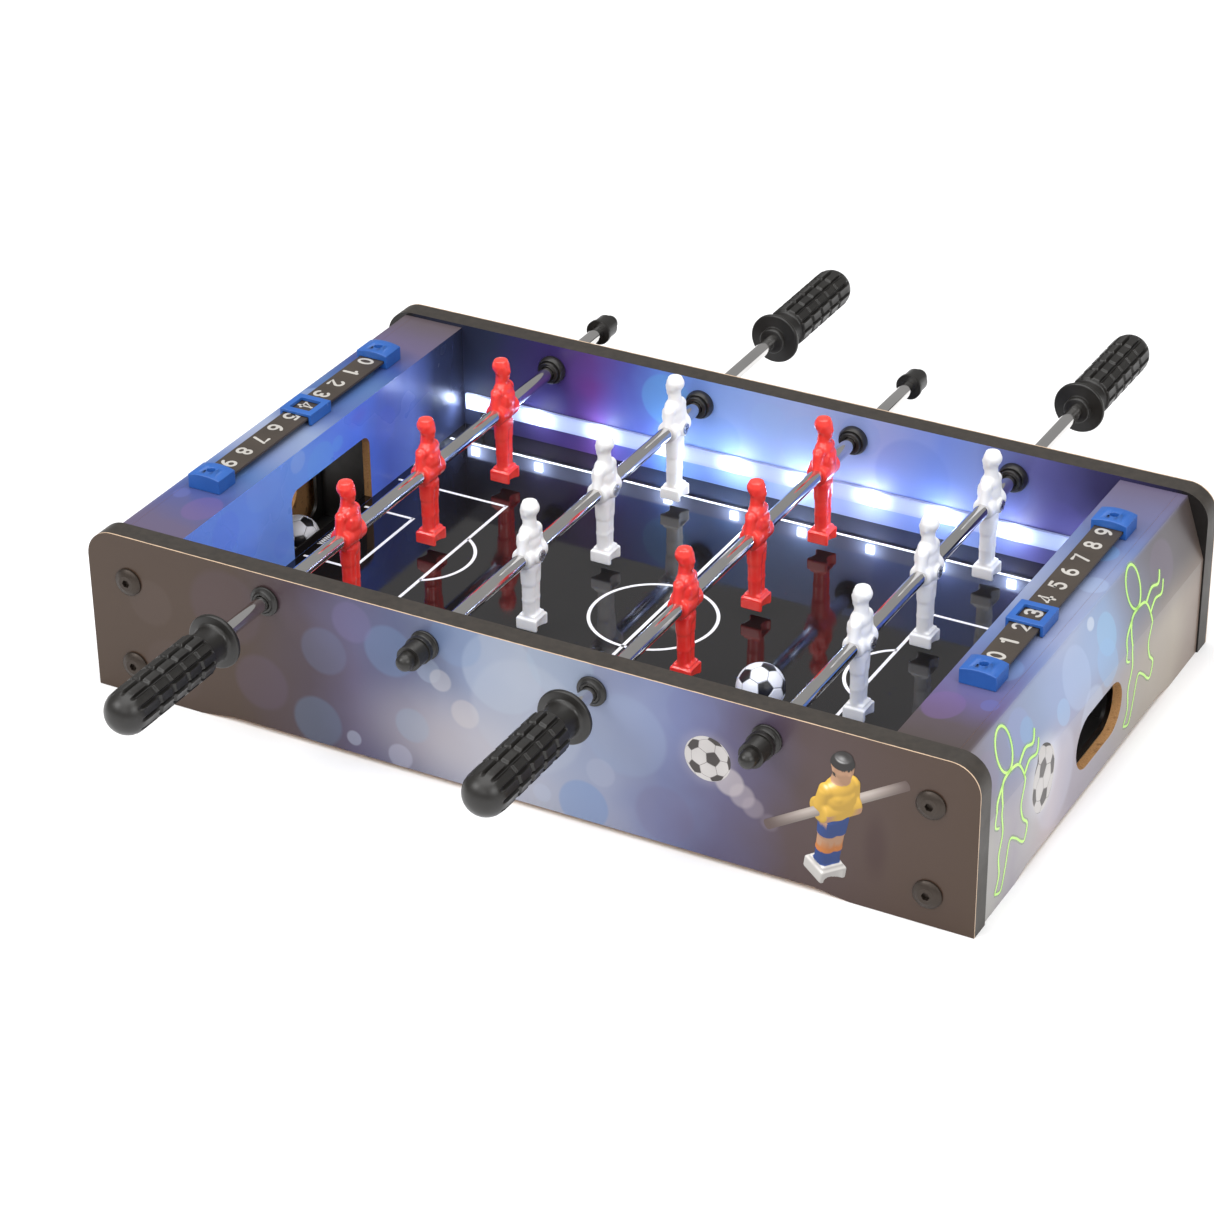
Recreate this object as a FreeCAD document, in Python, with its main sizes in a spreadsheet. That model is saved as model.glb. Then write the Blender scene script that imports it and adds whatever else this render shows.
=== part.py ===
import FreeCAD, Part
import os
import re
from FreeCAD import Vector, Rotation, Placement

# Tabletop foosball game, millimetres, +Z up.
# X runs along the length (goal to goal), Y runs along the rods.
# Origin: centre of the overall box at the height the walls stand on.

doc = FreeCAD.newDocument("tabletop_foosball")
sheet = doc.addObject("Spreadsheet::Sheet", "sizes")

CELLS = [
    # cabinet
    ("table_len", 512.0), ("table_wid", 316.0), ("wall_hgt", 96.0), ("wall_thk", 13.0),
    ("corner_rad", 16.0), ("foot_raise", 3.0), ("foot_len", 66.0), ("ramp_len", 20.0),
    ("board_thk", 5.0), ("end_in", 205.2), ("end_top", 94.0), ("bevel_x", 243.5),
    ("bevel_z", 58.0), ("panel_x", 255.0), ("y_shift", -18.0), ("panel_low", 7.0),
    # goal and ball return
    ("goal_wid", 81.0), ("goal_top", 72.0), ("goal_rad", 7.0), ("ret_wid", 62.0),
    ("ret_low", 17.5), ("ret_hgt", 31.0), ("ret_rad", 15.4), ("fit_gap", 0.1),
    # playing field
    ("field_top", 31.5), ("field_thk", 3.5), ("rail_wid", 10.0), ("rail_hgt", 12.0),
    ("rail_len", 372.0),
    # ball tray
    ("tray_thk", 2.0), ("tray_floor", 9.0), ("tray_out", 244.0), ("tray_half", 46.0),
    ("tray_top", 76.0), ("tray_win", 78.0), ("tray_sill", 13.0),
    # corner blocks and bolts
    ("block_x", 231.0), ("block_w", 20.0), ("block_low", 8.0), ("block_hgt", 72.0),
    ("bolt_up", 69.3), ("bolt_dn", 18.2), ("bolt_rad", 3.0), ("bolt_len", 31.0),
    ("bolt_head", 7.8), ("bolt_hd_t", 2.9), ("socket_af", 4.0),
    # rods
    ("rod_rad", 4.0), ("rod_bore", 3.0), ("rod_hgt", 81.0), ("rod_in", 48.1),
    ("rod_out", 144.3), ("rod_start", -275.0), ("rod_end", 205.0), ("run_gap", 0.06),
    ("rest_one", 5.0), ("rest_two", 31.0), ("rest_three", 23.5), ("rest_four", 29.5),
    # bushings
    ("bush_rad", 6.4), ("bush_flange", 8.3), ("bush_fl_t", 3.5), ("bush_reach", 20.0),
    ("nut_rad", 8.5), ("nut_thk", 5.0),
    # players
    ("player_gap", 82.0), ("head_rad", 6.3), ("head_z", 25.8), ("torso_z", 6.5),
    ("torso_hz", 13.0), ("torso_hx", 6.6), ("torso_hy", 10.0), ("hub_rad", 7.3),
    ("hub_len", 16.0), ("hip_z", -9.5), ("leg_low", -36.0), ("foot_low", -44.5),
    ("foot_x", 12.4), ("foot_y", 13.0), ("foot_hgt", 9.0), ("notch_rad", 6.0),
    ("screw_rad", 1.4), ("screw_head", 3.1),
    # handle and end cap, measured along the rod from the middle player
    ("boss_s", -204.0), ("flange_s", -208.0), ("neck_s", -211.0), ("grip_s", -225.0),
    ("grip_e", -285.0), ("tip_s", -297.0), ("grip_rad", 12.0), ("groove_in", 10.8),
    ("neck_rad", 10.2), ("flange_rad", 15.0), ("boss_rad", 7.5),
    ("cap_s", 194.0), ("cap_rim", 7.6), ("cap_rad", 6.8), ("cap_nub", 4.8),
    # score counters
    ("score_xl", 225.2), ("score_xr", 222.8), ("strip_wid", 16.0), ("strip_thk", 4.8), ("strip_bar", 1.6), ("score_half", 93.2),
    ("blk_len", 15.8), ("blk_wid", 20.0), ("blk_hgt", 9.5), ("blk_arch", 34.0),
    ("slid_len", 21.0), ("slid_wid", 20.4), ("slid_hgt", 7.0), ("slid_win", 12.5), ("right_y", 5.5),
    ("slid_l", 7.9), ("slid_r", -19.2),
    # lights
    ("led_low", 42.5), ("led_wid", 10.0), ("led_thk", 2.0), ("led_half", 203.0),
    ("led_gap", 43.0), ("led_mid", -3.5), ("lamp_size", 5.0), ("lamp_thk", 1.2), ("wire_rad", 0.8),
    ("wire_x", -193.0), ("wire_z", 20.0), ("wire_bend", 8.0),
    # battery box
    ("box_x", -165.0), ("box_y", 80.0), ("box_len", 62.0), ("box_wid", 62.0),
    ("box_hgt", 18.3), ("box_thk", 1.5), ("cell_rad", 7.2), ("cell_len", 49.5),
    ("cell_gap", 15.2),
    # ball
    ("ball_rad", 13.0), ("ball_x", 93.9), ("ball_y", -63.0), ("gball_x", -226.8),
    ("gball_y", -5.0),
]
for row, (alias, value) in enumerate(CELLS, start=1):
    sheet.set("A%d" % row, alias)
    sheet.set("B%d" % row, repr(float(value)))
    sheet.setAlias("B%d" % row, alias)
doc.recompute()

D = dict(CELLS)
WORDS = re.compile(r"\b(" + "|".join(sorted((a for a, _ in CELLS), key=len, reverse=True)) + r")\b")


def ex(e):
    """An expression on the sheet's cells, as FreeCAD writes it."""
    return WORDS.sub(lambda m: "sizes." + m.group(1), str(e))


def bind(obj, **props):
    for prop, e in props.items():
        obj.setExpression(prop.replace("__", "."), ex(e))


def place(obj, x, y, z, rot=None):
    """Bind the position; y is measured from the middle of the table."""
    obj.Placement = Placement(Vector(0, 0, 0), rot or Rotation())
    obj.setExpression("Placement.Base.x", ex(x))
    obj.setExpression("Placement.Base.y", ex("(%s) + y_shift" % y))
    obj.setExpression("Placement.Base.z", ex(z))
    return obj


ALONG_Y = Rotation(Vector(1, 0, 0), -90)
ALONG_X = Rotation(Vector(0, 1, 0), 90)
HALF_TURN = Rotation(Vector(0, 0, 1), 180)
count = [0]


def new(kind, name=None):
    count[0] += 1
    obj = doc.addObject(kind, name or "item_%d" % count[0])
    return obj


def box(x, y, z, dx, dy, dz, local=False):
    b = new("Part::Box")
    bind(b, Length=dx, Width=dy, Height=dz)
    return put(b, x, y, z, None, local)


def put(b, x, y, z, rot, local):
    if local:
        b.Placement = Placement(Vector(0, 0, 0), rot or Rotation())
        b.setExpression("Placement.Base.x", ex(x))
        b.setExpression("Placement.Base.y", ex(y))
        b.setExpression("Placement.Base.z", ex(z))
        return b
    return place(b, x, y, z, rot)


def cyl(rot, r, length, x, y, z, local=False):
    c = new("Part::Cylinder")
    bind(c, Radius=r, Height=length)
    return put(c, x, y, z, rot, local)


def cone(rot, r1, r2, length, x, y, z, local=False):
    c = new("Part::Cone")
    bind(c, Radius1=r1, Radius2=r2, Height=length)
    return put(c, x, y, z, rot, local)


def ball(r, x, y, z, local=False):
    s = new("Part::Sphere")
    bind(s, Radius=r)
    return put(s, x, y, z, None, local)


def ellipsoid(rz, rx, ry, x, y, z):
    e = new("Part::Ellipsoid")
    bind(e, Radius1=rz, Radius2=rx, Radius3=ry)
    return put(e, x, y, z, None, True)


def fuse(parts, name=None):
    if len(parts) == 1:
        return parts[0]
    f = new("Part::MultiFuse", name)
    f.Shapes = parts
    f.Refine = True
    return f


def cut(base, tools, name=None):
    c = new("Part::Cut", name)
    c.Base = base
    c.Tool = fuse(tools)
    c.Refine = True
    return c


def common(parts, name=None):
    c = new("Part::MultiCommon", name)
    c.Shapes = parts
    return c


def group(parts, name=None):
    c = new("Part::Compound", name)
    c.Links = parts
    return c


def copy_of(master, x, y, z, rot=None):
    """A placed copy of a master piece that is modelled at the origin."""
    c = new("Part::Compound")
    c.Links = [master]
    return place(c, x, y, z, rot)


NODES = []


def node(obj, name):
    obj.Label = name
    NODES.append((name, obj))
    return obj


def rounded_box(x, y, z, dx, dy, dz, r, along):
    """Prism with rounded corners across the axis it runs along (x or y)."""
    if along == "x":
        parts = [box(x, "(%s)+(%s)" % (y, r), z, dx, "(%s)-2*(%s)" % (dy, r), dz),
                 box(x, y, "(%s)+(%s)" % (z, r), dx, dy, "(%s)-2*(%s)" % (dz, r))]
        for sy in (0, 1):
            for sz in (0, 1):
                cy = "(%s)+(%s)" % (y, r) if sy == 0 else "(%s)+(%s)-(%s)" % (y, dy, r)
                cz = "(%s)+(%s)" % (z, r) if sz == 0 else "(%s)+(%s)-(%s)" % (z, dz, r)
                parts.append(cyl(ALONG_X, r, dx, x, cy, cz))
    return fuse(parts)


# ---------------------------------------------------------------- cabinet
def wall(front):
    """Long wall with round top corners and a shallow arch between its feet."""
    y0 = "-table_wid/2" if front else "table_wid/2-wall_thk"
    parts = [
        box("-table_len/2", y0, "0", "table_len", "wall_thk", "wall_hgt-corner_rad"),
        box("-table_len/2+corner_rad", y0, "0", "table_len-2*corner_rad", "wall_thk", "wall_hgt"),
        cyl(ALONG_Y, "corner_rad", "wall_thk", "-table_len/2+corner_rad", y0, "wall_hgt-corner_rad"),
        cyl(ALONG_Y, "corner_rad", "wall_thk", "table_len/2-corner_rad", y0, "wall_hgt-corner_rad"),
    ]
    arch = new("Part::Wedge")
    bind(arch, Xmin="-table_len/2+foot_len", Xmax="table_len/2-foot_len", Ymin="0", Ymax="foot_raise",
         Zmin="0", Zmax="wall_thk+2", X2min="-table_len/2+foot_len+ramp_len",
         X2max="table_len/2-foot_len-ramp_len", Z2min="0", Z2max="wall_thk+2")
    # the wedge grows along its own Y, which is turned to stand upright
    place(arch, "0", "(%s)+wall_thk+1" % y0, "0", Rotation(Vector(1, 0, 0), 90))
    holes = [arch]
    for xs in ("-rod_out", "-rod_in", "rod_in", "rod_out"):
        holes.append(cyl(ALONG_Y, "bush_rad+fit_gap", "wall_thk+2", xs, "(%s)-1" % y0, "rod_hgt"))
    for xs in ("-block_x", "block_x"):
        for zs in ("bolt_up", "bolt_dn"):
            holes.append(cyl(ALONG_Y, "bolt_rad+fit_gap", "wall_thk+2", xs, "(%s)-1" % y0, zs))
    return cut(fuse(parts), holes)


node(wall(True), "front_wall")
node(wall(False), "back_wall")

for side, sg in (("left", -1), ("right", 1)):
    inner = "table_wid/2-wall_thk-0.05"
    # goal panel: stands across the end of the field, with the goal mouth cut in it
    x0 = "end_in" if sg > 0 else "-end_in-board_thk"
    panel = box(x0, "-(%s)" % inner, "panel_low", "board_thk", "2*(%s)" % inner,
                "end_top-board_thk-panel_low")
    mouth = [box("(%s)-1" % x0, "-goal_wid/2", "field_top", "board_thk+2", "goal_wid",
                 "goal_top-goal_rad-field_top"),
             box("(%s)-1" % x0, "-goal_wid/2+goal_rad", "field_top", "board_thk+2",
                 "goal_wid-2*goal_rad", "goal_top-field_top"),
             cyl(ALONG_X, "goal_rad", "board_thk+2", "(%s)-1" % x0, "-goal_wid/2+goal_rad", "goal_top-goal_rad"),
             cyl(ALONG_X, "goal_rad", "board_thk+2", "(%s)-1" % x0, "goal_wid/2-goal_rad", "goal_top-goal_rad")]
    node(cut(panel, mouth), side + "_goal_panel")

    # top board of the end box, with pilot holes for the score counter screws
    yc = "right_y" if sg > 0 else "0"
    x0 = "end_in" if sg > 0 else "-(bevel_x-5.4)"
    top = box(x0, "-(%s)" % inner, "end_top-board_thk", "bevel_x-5.4-end_in", "2*(%s)" % inner, "board_thk")
    sx = "score_xr" if sg > 0 else "-score_xl"
    pilots = [cyl(Rotation(), "screw_rad+fit_gap", "board_thk+2", sx,
                  "(%s)+(%d)*(score_half-blk_len/2)" % (yc, k), "end_top-board_thk-1") for k in (-1, 1)]
    node(cut(top, pilots), side + "_end_top")

    # outer end panel: upright board below, bevelled board above, one folded piece
    body = doc.addObject("PartDesign::Body", side + "_panel_body")
    sk = body.newObject("Sketcher::SketchObject", side + "_panel_sketch")
    plane = [f for f in body.Origin.OriginFeatures if f.Role == "XZ_Plane"][0]
    sk.AttachmentSupport = [(plane, "")]
    sk.MapMode = "FlatFace"
    pts = [("panel_x", "1"), ("panel_x", "1+bevel_z"), ("bevel_x", "1+end_top"),
           ("bevel_x-5.3", "1+end_top"), ("panel_x-board_thk", "1+bevel_z-0.8"),
           ("panel_x-board_thk", "1")]
    vals = [(eval_x, eval_z) for eval_x, eval_z in (
        (D["panel_x"], 1), (D["panel_x"], 1 + D["bevel_z"]), (D["bevel_x"], 1 + D["end_top"]),
        (D["bevel_x"] - 5.3, 1 + D["end_top"]), (D["panel_x"] - D["board_thk"], 1 + D["bevel_z"] - 0.8),
        (D["panel_x"] - D["board_thk"], 1))]
    import Sketcher
    n = len(pts)
    for i in range(n):
        a, b = vals[i], vals[(i + 1) % n]
        sk.addGeometry(Part.LineSegment(Vector(a[0], a[1], 0), Vector(b[0], b[1], 0)), False)
    for i in range(n):
        sk.addConstraint(Sketcher.Constraint("Coincident", i, 2, (i + 1) % n, 1))
    for i in range(n):
        kx = sk.addConstraint(Sketcher.Constraint("DistanceX", -1, 1, i, 1, vals[i][0]))
        kz = sk.addConstraint(Sketcher.Constraint("DistanceY", -1, 1, i, 1, vals[i][1]))
        sk.setExpression("Constraints[%d]" % kx, ex(pts[i][0]))
        sk.setExpression("Constraints[%d]" % kz, ex(pts[i][1]))
    pad = body.newObject("PartDesign::Pad", side + "_panel_pad")
    pad.Profile = sk
    pad.Midplane = True
    pad.setExpression("Length", ex("2*(%s)" % inner))
    body.Tip = pad
    place(body, "0", "0", "-1", Rotation() if sg > 0 else HALF_TURN)
    doc.recompute()
    x0 = "panel_x-board_thk-1" if sg > 0 else "-panel_x-1"
    ret = rounded_box(x0, "-ret_wid/2", "ret_low", "board_thk+2", "ret_wid", "ret_hgt", "ret_rad", "x")
    arch = new("Part::Wedge")
    bind(arch, Xmin="-105", Xmax="105", Ymin="0", Ymax="foot_raise", Zmin="0", Zmax="board_thk+2",
         X2min="-90", X2max="90", Z2min="0", Z2max="board_thk+2")
    place(arch, "(%s)" % x0, "0", "0", Rotation(Vector(0, 0, 1), 90) * Rotation(Vector(1, 0, 0), 90))
    node(cut(body, [ret, arch]), side + "_end_panel")

    # ball tray: open box behind the goal, with a window towards the return hole
    xa = "end_in+board_thk+0.1"
    ln = "tray_out-(end_in+board_thk+0.1)"
    xs = xa if sg > 0 else "-tray_out"
    shell = box(xs, "-tray_half", "tray_floor-tray_thk", ln, "2*tray_half", "tray_top-tray_floor+tray_thk")
    xi = "(%s)+tray_thk" % xs
    hollow = box(xi, "-tray_half+tray_thk", "tray_floor", "(%s)-2*tray_thk" % ln,
                 "2*tray_half-2*tray_thk", "tray_top")
    xg = "(%s)-1" % xs if sg > 0 else "-(%s)-tray_thk-1" % xa
    goal_gap = box(xg, "-goal_wid/2-1", "field_top-1", "tray_thk+2", "goal_wid+2", "tray_top")
    xw = "tray_out-tray_thk-1" if sg > 0 else "-tray_out-1"
    window = rounded_box(xw, "-tray_win/2", "tray_sill", "tray_thk+2", "tray_win", "40", "8", "x")
    node(cut(shell, [hollow, goal_gap, window]), side + "_ball_tray")

# playing field: glossy hardboard with a notch at its back edge for the lamp wire
half_in = "table_wid/2-wall_thk-0.1"
field = box("-end_in+0.1", "-(%s)" % half_in, "field_top-field_thk", "2*end_in-0.2", "2*(%s)" % half_in, "field_thk")
notch = box("wire_x-1.5", "%s-3" % half_in, "field_top-field_thk-1", "3", "5", "field_thk+2")
node(cut(field, [notch]), "playfield")

rails = [box("-rail_len/2+%d" % dx, y, "field_top-field_thk-rail_hgt", "rail_len-%d" % abs(dx), "rail_wid", "rail_hgt")
         for dx, y in ((0, "-table_wid/2+wall_thk"), (20, "table_wid/2-wall_thk-rail_wid"))]
node(group(rails), "field_rails")

# corner blocks, one in each corner, drilled for the two corner bolts
blocks = []
for sx in (-1, 1):
    for sy in (-1, 1):
        y0 = "-table_wid/2+wall_thk" if sy < 0 else "table_wid/2-wall_thk-block_w"
        b = box("%d*block_x-block_w/2" % sx, y0, "block_low", "block_w", "block_w", "block_hgt")
        hs = [cyl(ALONG_Y, "bolt_rad+fit_gap", "block_w-1.5", "%d*block_x" % sx,
                  ("(%s)-0.5" % y0) if sy < 0 else "(%s)+2" % y0, z) for z in ("bolt_up", "bolt_dn")]
        blocks.append(cut(b, hs))
node(group(blocks), "corner_blocks")

# corner bolt: low button head with a hexagon socket; modelled along +Y, head at y < 0
head = fuse([cyl(ALONG_Y, "bolt_head", "1.0", "0", "-1.0", "0", True),
             cone(ALONG_Y, "bolt_head*0.82", "bolt_head", "1.1", "0", "-2.1", "0", True),
             cone(ALONG_Y, "bolt_head*0.55", "bolt_head*0.82", "bolt_hd_t-2.1", "0", "-bolt_hd_t", "0", True)])
shank = cyl(ALONG_Y, "bolt_rad", "bolt_len", "0", "0", "0", True)
hexa = new("Part::Prism")
hexa.Polygon = 6
bind(hexa, Circumradius="socket_af/2/cos(30)", Height="2.2")
put(hexa, "0", "-bolt_hd_t-0.2", "0", ALONG_Y, True)
bolt_master = cut(fuse([head, shank]), [hexa])
bolts = []
for sy in (-1, 1):
    for sx in (-1, 1):
        for z in ("bolt_up", "bolt_dn"):
            bolts.append(copy_of(bolt_master, "%d*block_x" % sx, "%d*table_wid/2" % sy, z,
                                 None if sy < 0 else HALF_TURN))
node(group(bolts), "corner_bolts")

# rod bushing: outer flange, threaded barrel through the wall; axis +Y, flange at y < 0
barrel = fuse([cyl(ALONG_Y, "bush_flange", "1.8", "0", "-1.8", "0", True),
               cone(ALONG_Y, "bush_rad-0.6", "bush_flange-0.8", "0.9", "0", "-2.7", "0", True),
               cyl(ALONG_Y, "bush_rad-0.6", "bush_fl_t", "0", "-bush_fl_t", "0", True),
               cyl(ALONG_Y, "bush_rad", "bush_reach", "0", "0", "0", True)])
bush_master = cut(barrel, [cyl(ALONG_Y, "rod_rad+run_gap", "bush_reach+bush_fl_t+2", "0", "-bush_fl_t-1", "0", True)])
ring = fuse([cyl(ALONG_Y, "nut_rad", "2.4", "0", "wall_thk", "0", True),
             cone(ALONG_Y, "nut_rad", "bush_rad+1.1", "nut_thk-2.4", "0", "wall_thk+2.4", "0", True)])
nut_master = cut(ring, [cyl(ALONG_Y, "bush_rad+fit_gap", "nut_thk+2", "0", "wall_thk-1", "0", True)])
bushes, nuts = [], []
for sy in (-1, 1):
    for xs in ("-rod_out", "-rod_in", "rod_in", "rod_out"):
        rot = None if sy < 0 else HALF_TURN
        bushes.append(copy_of(bush_master, xs, "%d*table_wid/2" % sy, "rod_hgt", rot))
        nuts.append(copy_of(nut_master, xs, "%d*table_wid/2" % sy, "rod_hgt", rot))
node(group(bushes), "rod_bushings")
node(group(nuts), "bushing_nuts")

# ---------------------------------------------------------------- score counters
strips, ends, screws = [], [], []
for side, sg, yc in (("left", -1, "0"), ("right", 1, "right_y")):
    cx = "score_xr" if sg > 0 else "-score_xl"
    strips.append(box("%s-strip_wid/2" % cx, "(%s)-score_half+blk_len-5" % yc, "end_top+strip_thk-strip_bar", "strip_wid",
                      "2*score_half-2*blk_len+10", "strip_bar"))
    for k in (-1, 1):
        y0 = "(%s)-score_half" % yc if k < 0 else "(%s)+score_half-blk_len" % yc
        mid = "(%s)+(%d)*(score_half-blk_len/2)" % (yc, k)
        raw = common([box("%s-blk_wid/2" % cx, y0, "end_top", "blk_wid", "blk_len", "blk_hgt"),
                      cyl(ALONG_Y, "blk_arch", "blk_len", cx, y0, "end_top+blk_hgt-blk_arch")])
        ypk = "(%s)+blk_len-5.2" % y0 if k < 0 else "(%s)-1" % y0
        pocket = box("%s-strip_wid/2-0.1" % cx, ypk, "end_top+strip_thk-strip_bar", "strip_wid+0.2", "6.2", "strip_bar+0.1")
        well = cyl(Rotation(), "2.3", "blk_hgt", cx, mid, "end_top+5.2")
        bore = cyl(Rotation(), "screw_rad+fit_gap", "blk_hgt", cx, mid, "end_top-1")
        ends.append(cut(raw, [pocket, well, bore]))
        hd = cut(fuse([cyl(Rotation(), "2.2", "1.6", cx, mid, "end_top+5.2"),
                       cyl(Rotation(), "screw_rad", "10", cx, mid, "end_top-4.7")]),
                 [box("%s-1.6" % cx, "(%s)-0.3" % mid, "end_top+6.0", "3.2", "0.6", "2"),
                  box("%s-0.3" % cx, "(%s)-1.6" % mid, "end_top+6.0", "0.6", "3.2", "2")])
        screws.append(hd)
    # slider: a frame that straddles the strip, with a window over one numeral
    pos = "slid_r" if sg > 0 else "slid_l"
    outer = box("%s-slid_wid/2" % cx, "(%s)-slid_len/2" % pos, "end_top+0.3", "slid_wid", "slid_len", "slid_hgt-0.3")
    chan = box("%s-strip_wid/2-0.35" % cx, "(%s)-slid_len/2-1" % pos, "end_top-1", "strip_wid+0.7", "slid_len+2",
               "strip_thk+1.35")
    win = box("%s-6.5" % cx, "(%s)-slid_win/2" % pos, "end_top", "13", "slid_win", "blk_hgt+2")
    node(cut(outer, [chan, win]), side + "_score_slider")
node(group(strips), "score_strips")
node(group(ends), "score_end_blocks")
node(group(screws), "score_screws")

# ---------------------------------------------------------------- lights
yb = "table_wid/2-wall_thk"
node(box("-led_half", "%s-led_thk" % yb, "led_low", "2*led_half", "led_thk", "led_wid"), "led_strip")
lamps = [box("%s*led_gap+led_mid-lamp_size/2" % k, "%s-led_thk-lamp_thk" % yb, "led_low+led_wid/2-lamp_size/2",
             "lamp_size", "lamp_thk", "lamp_size") for k in (-4.5, -3.5, -2.5, -1.5, -0.5, 0.5, 1.5, 2.5, 3.5, 4.5)]
node(group(lamps), "led_lamps")

# battery box, hung under the field, open below, with a bay for the switch at the front
zt = "field_top-field_thk"
zb = "field_top-field_thk-box_hgt"
shell = box("box_x-box_len/2", "box_y-box_wid/2", zb, "box_len", "box_wid", "box_hgt")
bay = box("box_x-box_len/2+box_thk", "box_y+box_wid/2-box_thk-47", "(%s)-1" % zb, "box_len-2*box_thk", "47",
          "box_hgt-box_thk+1")
bay_b = box("box_x-12", "box_y-box_wid/2+box_thk", "(%s)-1" % zb, "24", "10", "box_hgt-box_thk+1")
slot = box("box_x-5", "box_y-box_wid/2-1", "(%s)+8" % zb, "10", "box_thk+2", "4")
exit_hole = cyl(ALONG_Y, "wire_rad+0.1", "box_thk+2", "wire_x", "box_y+box_wid/2-box_thk-1", "wire_z")
node(cut(shell, [bay, bay_b, slot, exit_hole]), "battery_box")
node(box("box_x-box_len/2", "box_y-box_wid/2", "(%s)-1.8" % zb, "box_len", "box_wid", "1.7"), "battery_cover")
cells, contacts = [], []
cy0 = "box_y+box_wid/2-box_thk-23.5"
for k in (-1, 0, 1):
    cyk = "(%s)+(%d)*cell_gap" % (cy0, k)
    cz = "(%s)+box_hgt-box_thk-cell_rad-0.6" % zb
    d = 1 if k % 2 == 0 else -1
    xcell = "box_x-cell_len/2"
    nub = ("box_x+cell_len/2" if d > 0 else "box_x-cell_len/2-1.2")
    cells.append(fuse([cyl(ALONG_X, "cell_rad", "cell_len", xcell, cyk, cz),
                       cyl(ALONG_X, "2.7", "1.2", nub, cyk, cz)]))
    contacts.append(box("box_x+box_len/2-box_thk-0.7", "(%s)-5" % cyk, "(%s)-5" % cz, "0.5", "10", "10"))
    contacts.append(box("box_x-box_len/2+box_thk+0.2", "(%s)-5" % cyk, "(%s)-5" % cz, "0.5", "10", "10"))
    # conical contact spring against the flat end of the cell
    if d > 0:
        contacts.append(cone(ALONG_X, "4.6", "3.0", "3.2", "box_x-box_len/2+box_thk+0.75", cyk, cz))
    else:
        contacts.append(cone(Rotation(Vector(0, 1, 0), -90), "4.6", "3.0", "3.2",
                             "box_x+box_len/2-box_thk-0.75", cyk, cz))
node(group(cells), "batteries")
node(group(contacts), "battery_contacts")
node(box("box_x-8", "box_y-box_wid/2+box_thk+0.1", "(%s)+6" % zb, "16", "7", "8"), "switch_body")
node(box("box_x-4.6", "box_y-box_wid/2-2", "(%s)+8.4" % zb, "4.6", "box_thk+1.8", "3.2"), "switch_knob")

# lamp wire: out of the battery box, back under the field, one bend, up to the strip
bend = new("Part::Torus")
bind(bend, Radius1="wire_bend", Radius2="wire_rad", Angle3="90")
bend.Angle1 = -180
bend.Angle2 = 180
place(bend, "wire_x", "%s-led_thk/2-wire_bend" % yb, "wire_z+wire_bend",
      Rotation(Vector(1, 0, 0), 180) * Rotation(Vector(0, 0, 1), -90) * Rotation(Vector(1, 0, 0), 90))
run_a = cyl(ALONG_Y, "wire_rad", "(%s-led_thk/2-wire_bend)-(box_y+box_wid/2-box_thk)" % yb, "wire_x",
            "box_y+box_wid/2-box_thk", "wire_z")
run_b = cyl(Rotation(), "wire_rad", "led_low-wire_z-wire_bend", "wire_x", "%s-led_thk/2" % yb, "wire_z+wire_bend")
wire = fuse([run_a, bend, run_b])
node(wire, "led_wire")

# ---------------------------------------------------------------- players
# Modelled on the rod axis, facing +X, standing along Z.
parts = [
    ball("head_rad", "0", "0", "head_z", True),
    cyl(Rotation(), "3.4", "8", "0", "0", "14", True),
    ellipsoid("torso_hz", "torso_hx", "torso_hy", "0", "0", "torso_z"),
    cyl(ALONG_Y, "hub_rad", "hub_len", "0", "-hub_len/2", "0", True),
    ellipsoid("7.5", "5.4", "6.8", "0", "0", "hip_z"),
    cone(Rotation(), "3.7", "4.6", "26", "0", "-2.6", "leg_low", True),
    cone(Rotation(), "3.7", "4.6", "26", "0", "2.6", "leg_low", True),
]
block = box("-foot_x/2", "-foot_y/2", "foot_low", "foot_x", "foot_y", "foot_hgt", True)
dent = [cyl(Rotation(), "notch_rad", "foot_hgt+2", "%d*(foot_x/2+notch_rad-2.2)" % k, "0", "foot_low-1", True)
        for k in (-1, 1)]
parts.append(cut(block, dent))
player_master = cut(fuse(parts), [
    cyl(ALONG_Y, "rod_rad+0.04", "40", "0", "-20", "0", True),
    cyl(ALONG_X, "screw_head+0.15", "4", "-9.9", "0", "0", True),
    cyl(ALONG_X, "screw_rad+0.1", "8", "-9", "0", "0", True)])
# player screw: pan head at the player's back, shank into the rod
screw_master = cut(fuse([cyl(ALONG_X, "screw_head", "1.8", "-7.7", "0", "0", True),
                         cyl(ALONG_X, "screw_rad", "8.2", "-5.95", "0", "0", True)]),
                   [box("-8.2", "-2", "-0.35", "1.5", "4", "0.7", True),
                    box("-8.2", "-0.35", "-2", "1.5", "0.7", "4", True)])

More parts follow.
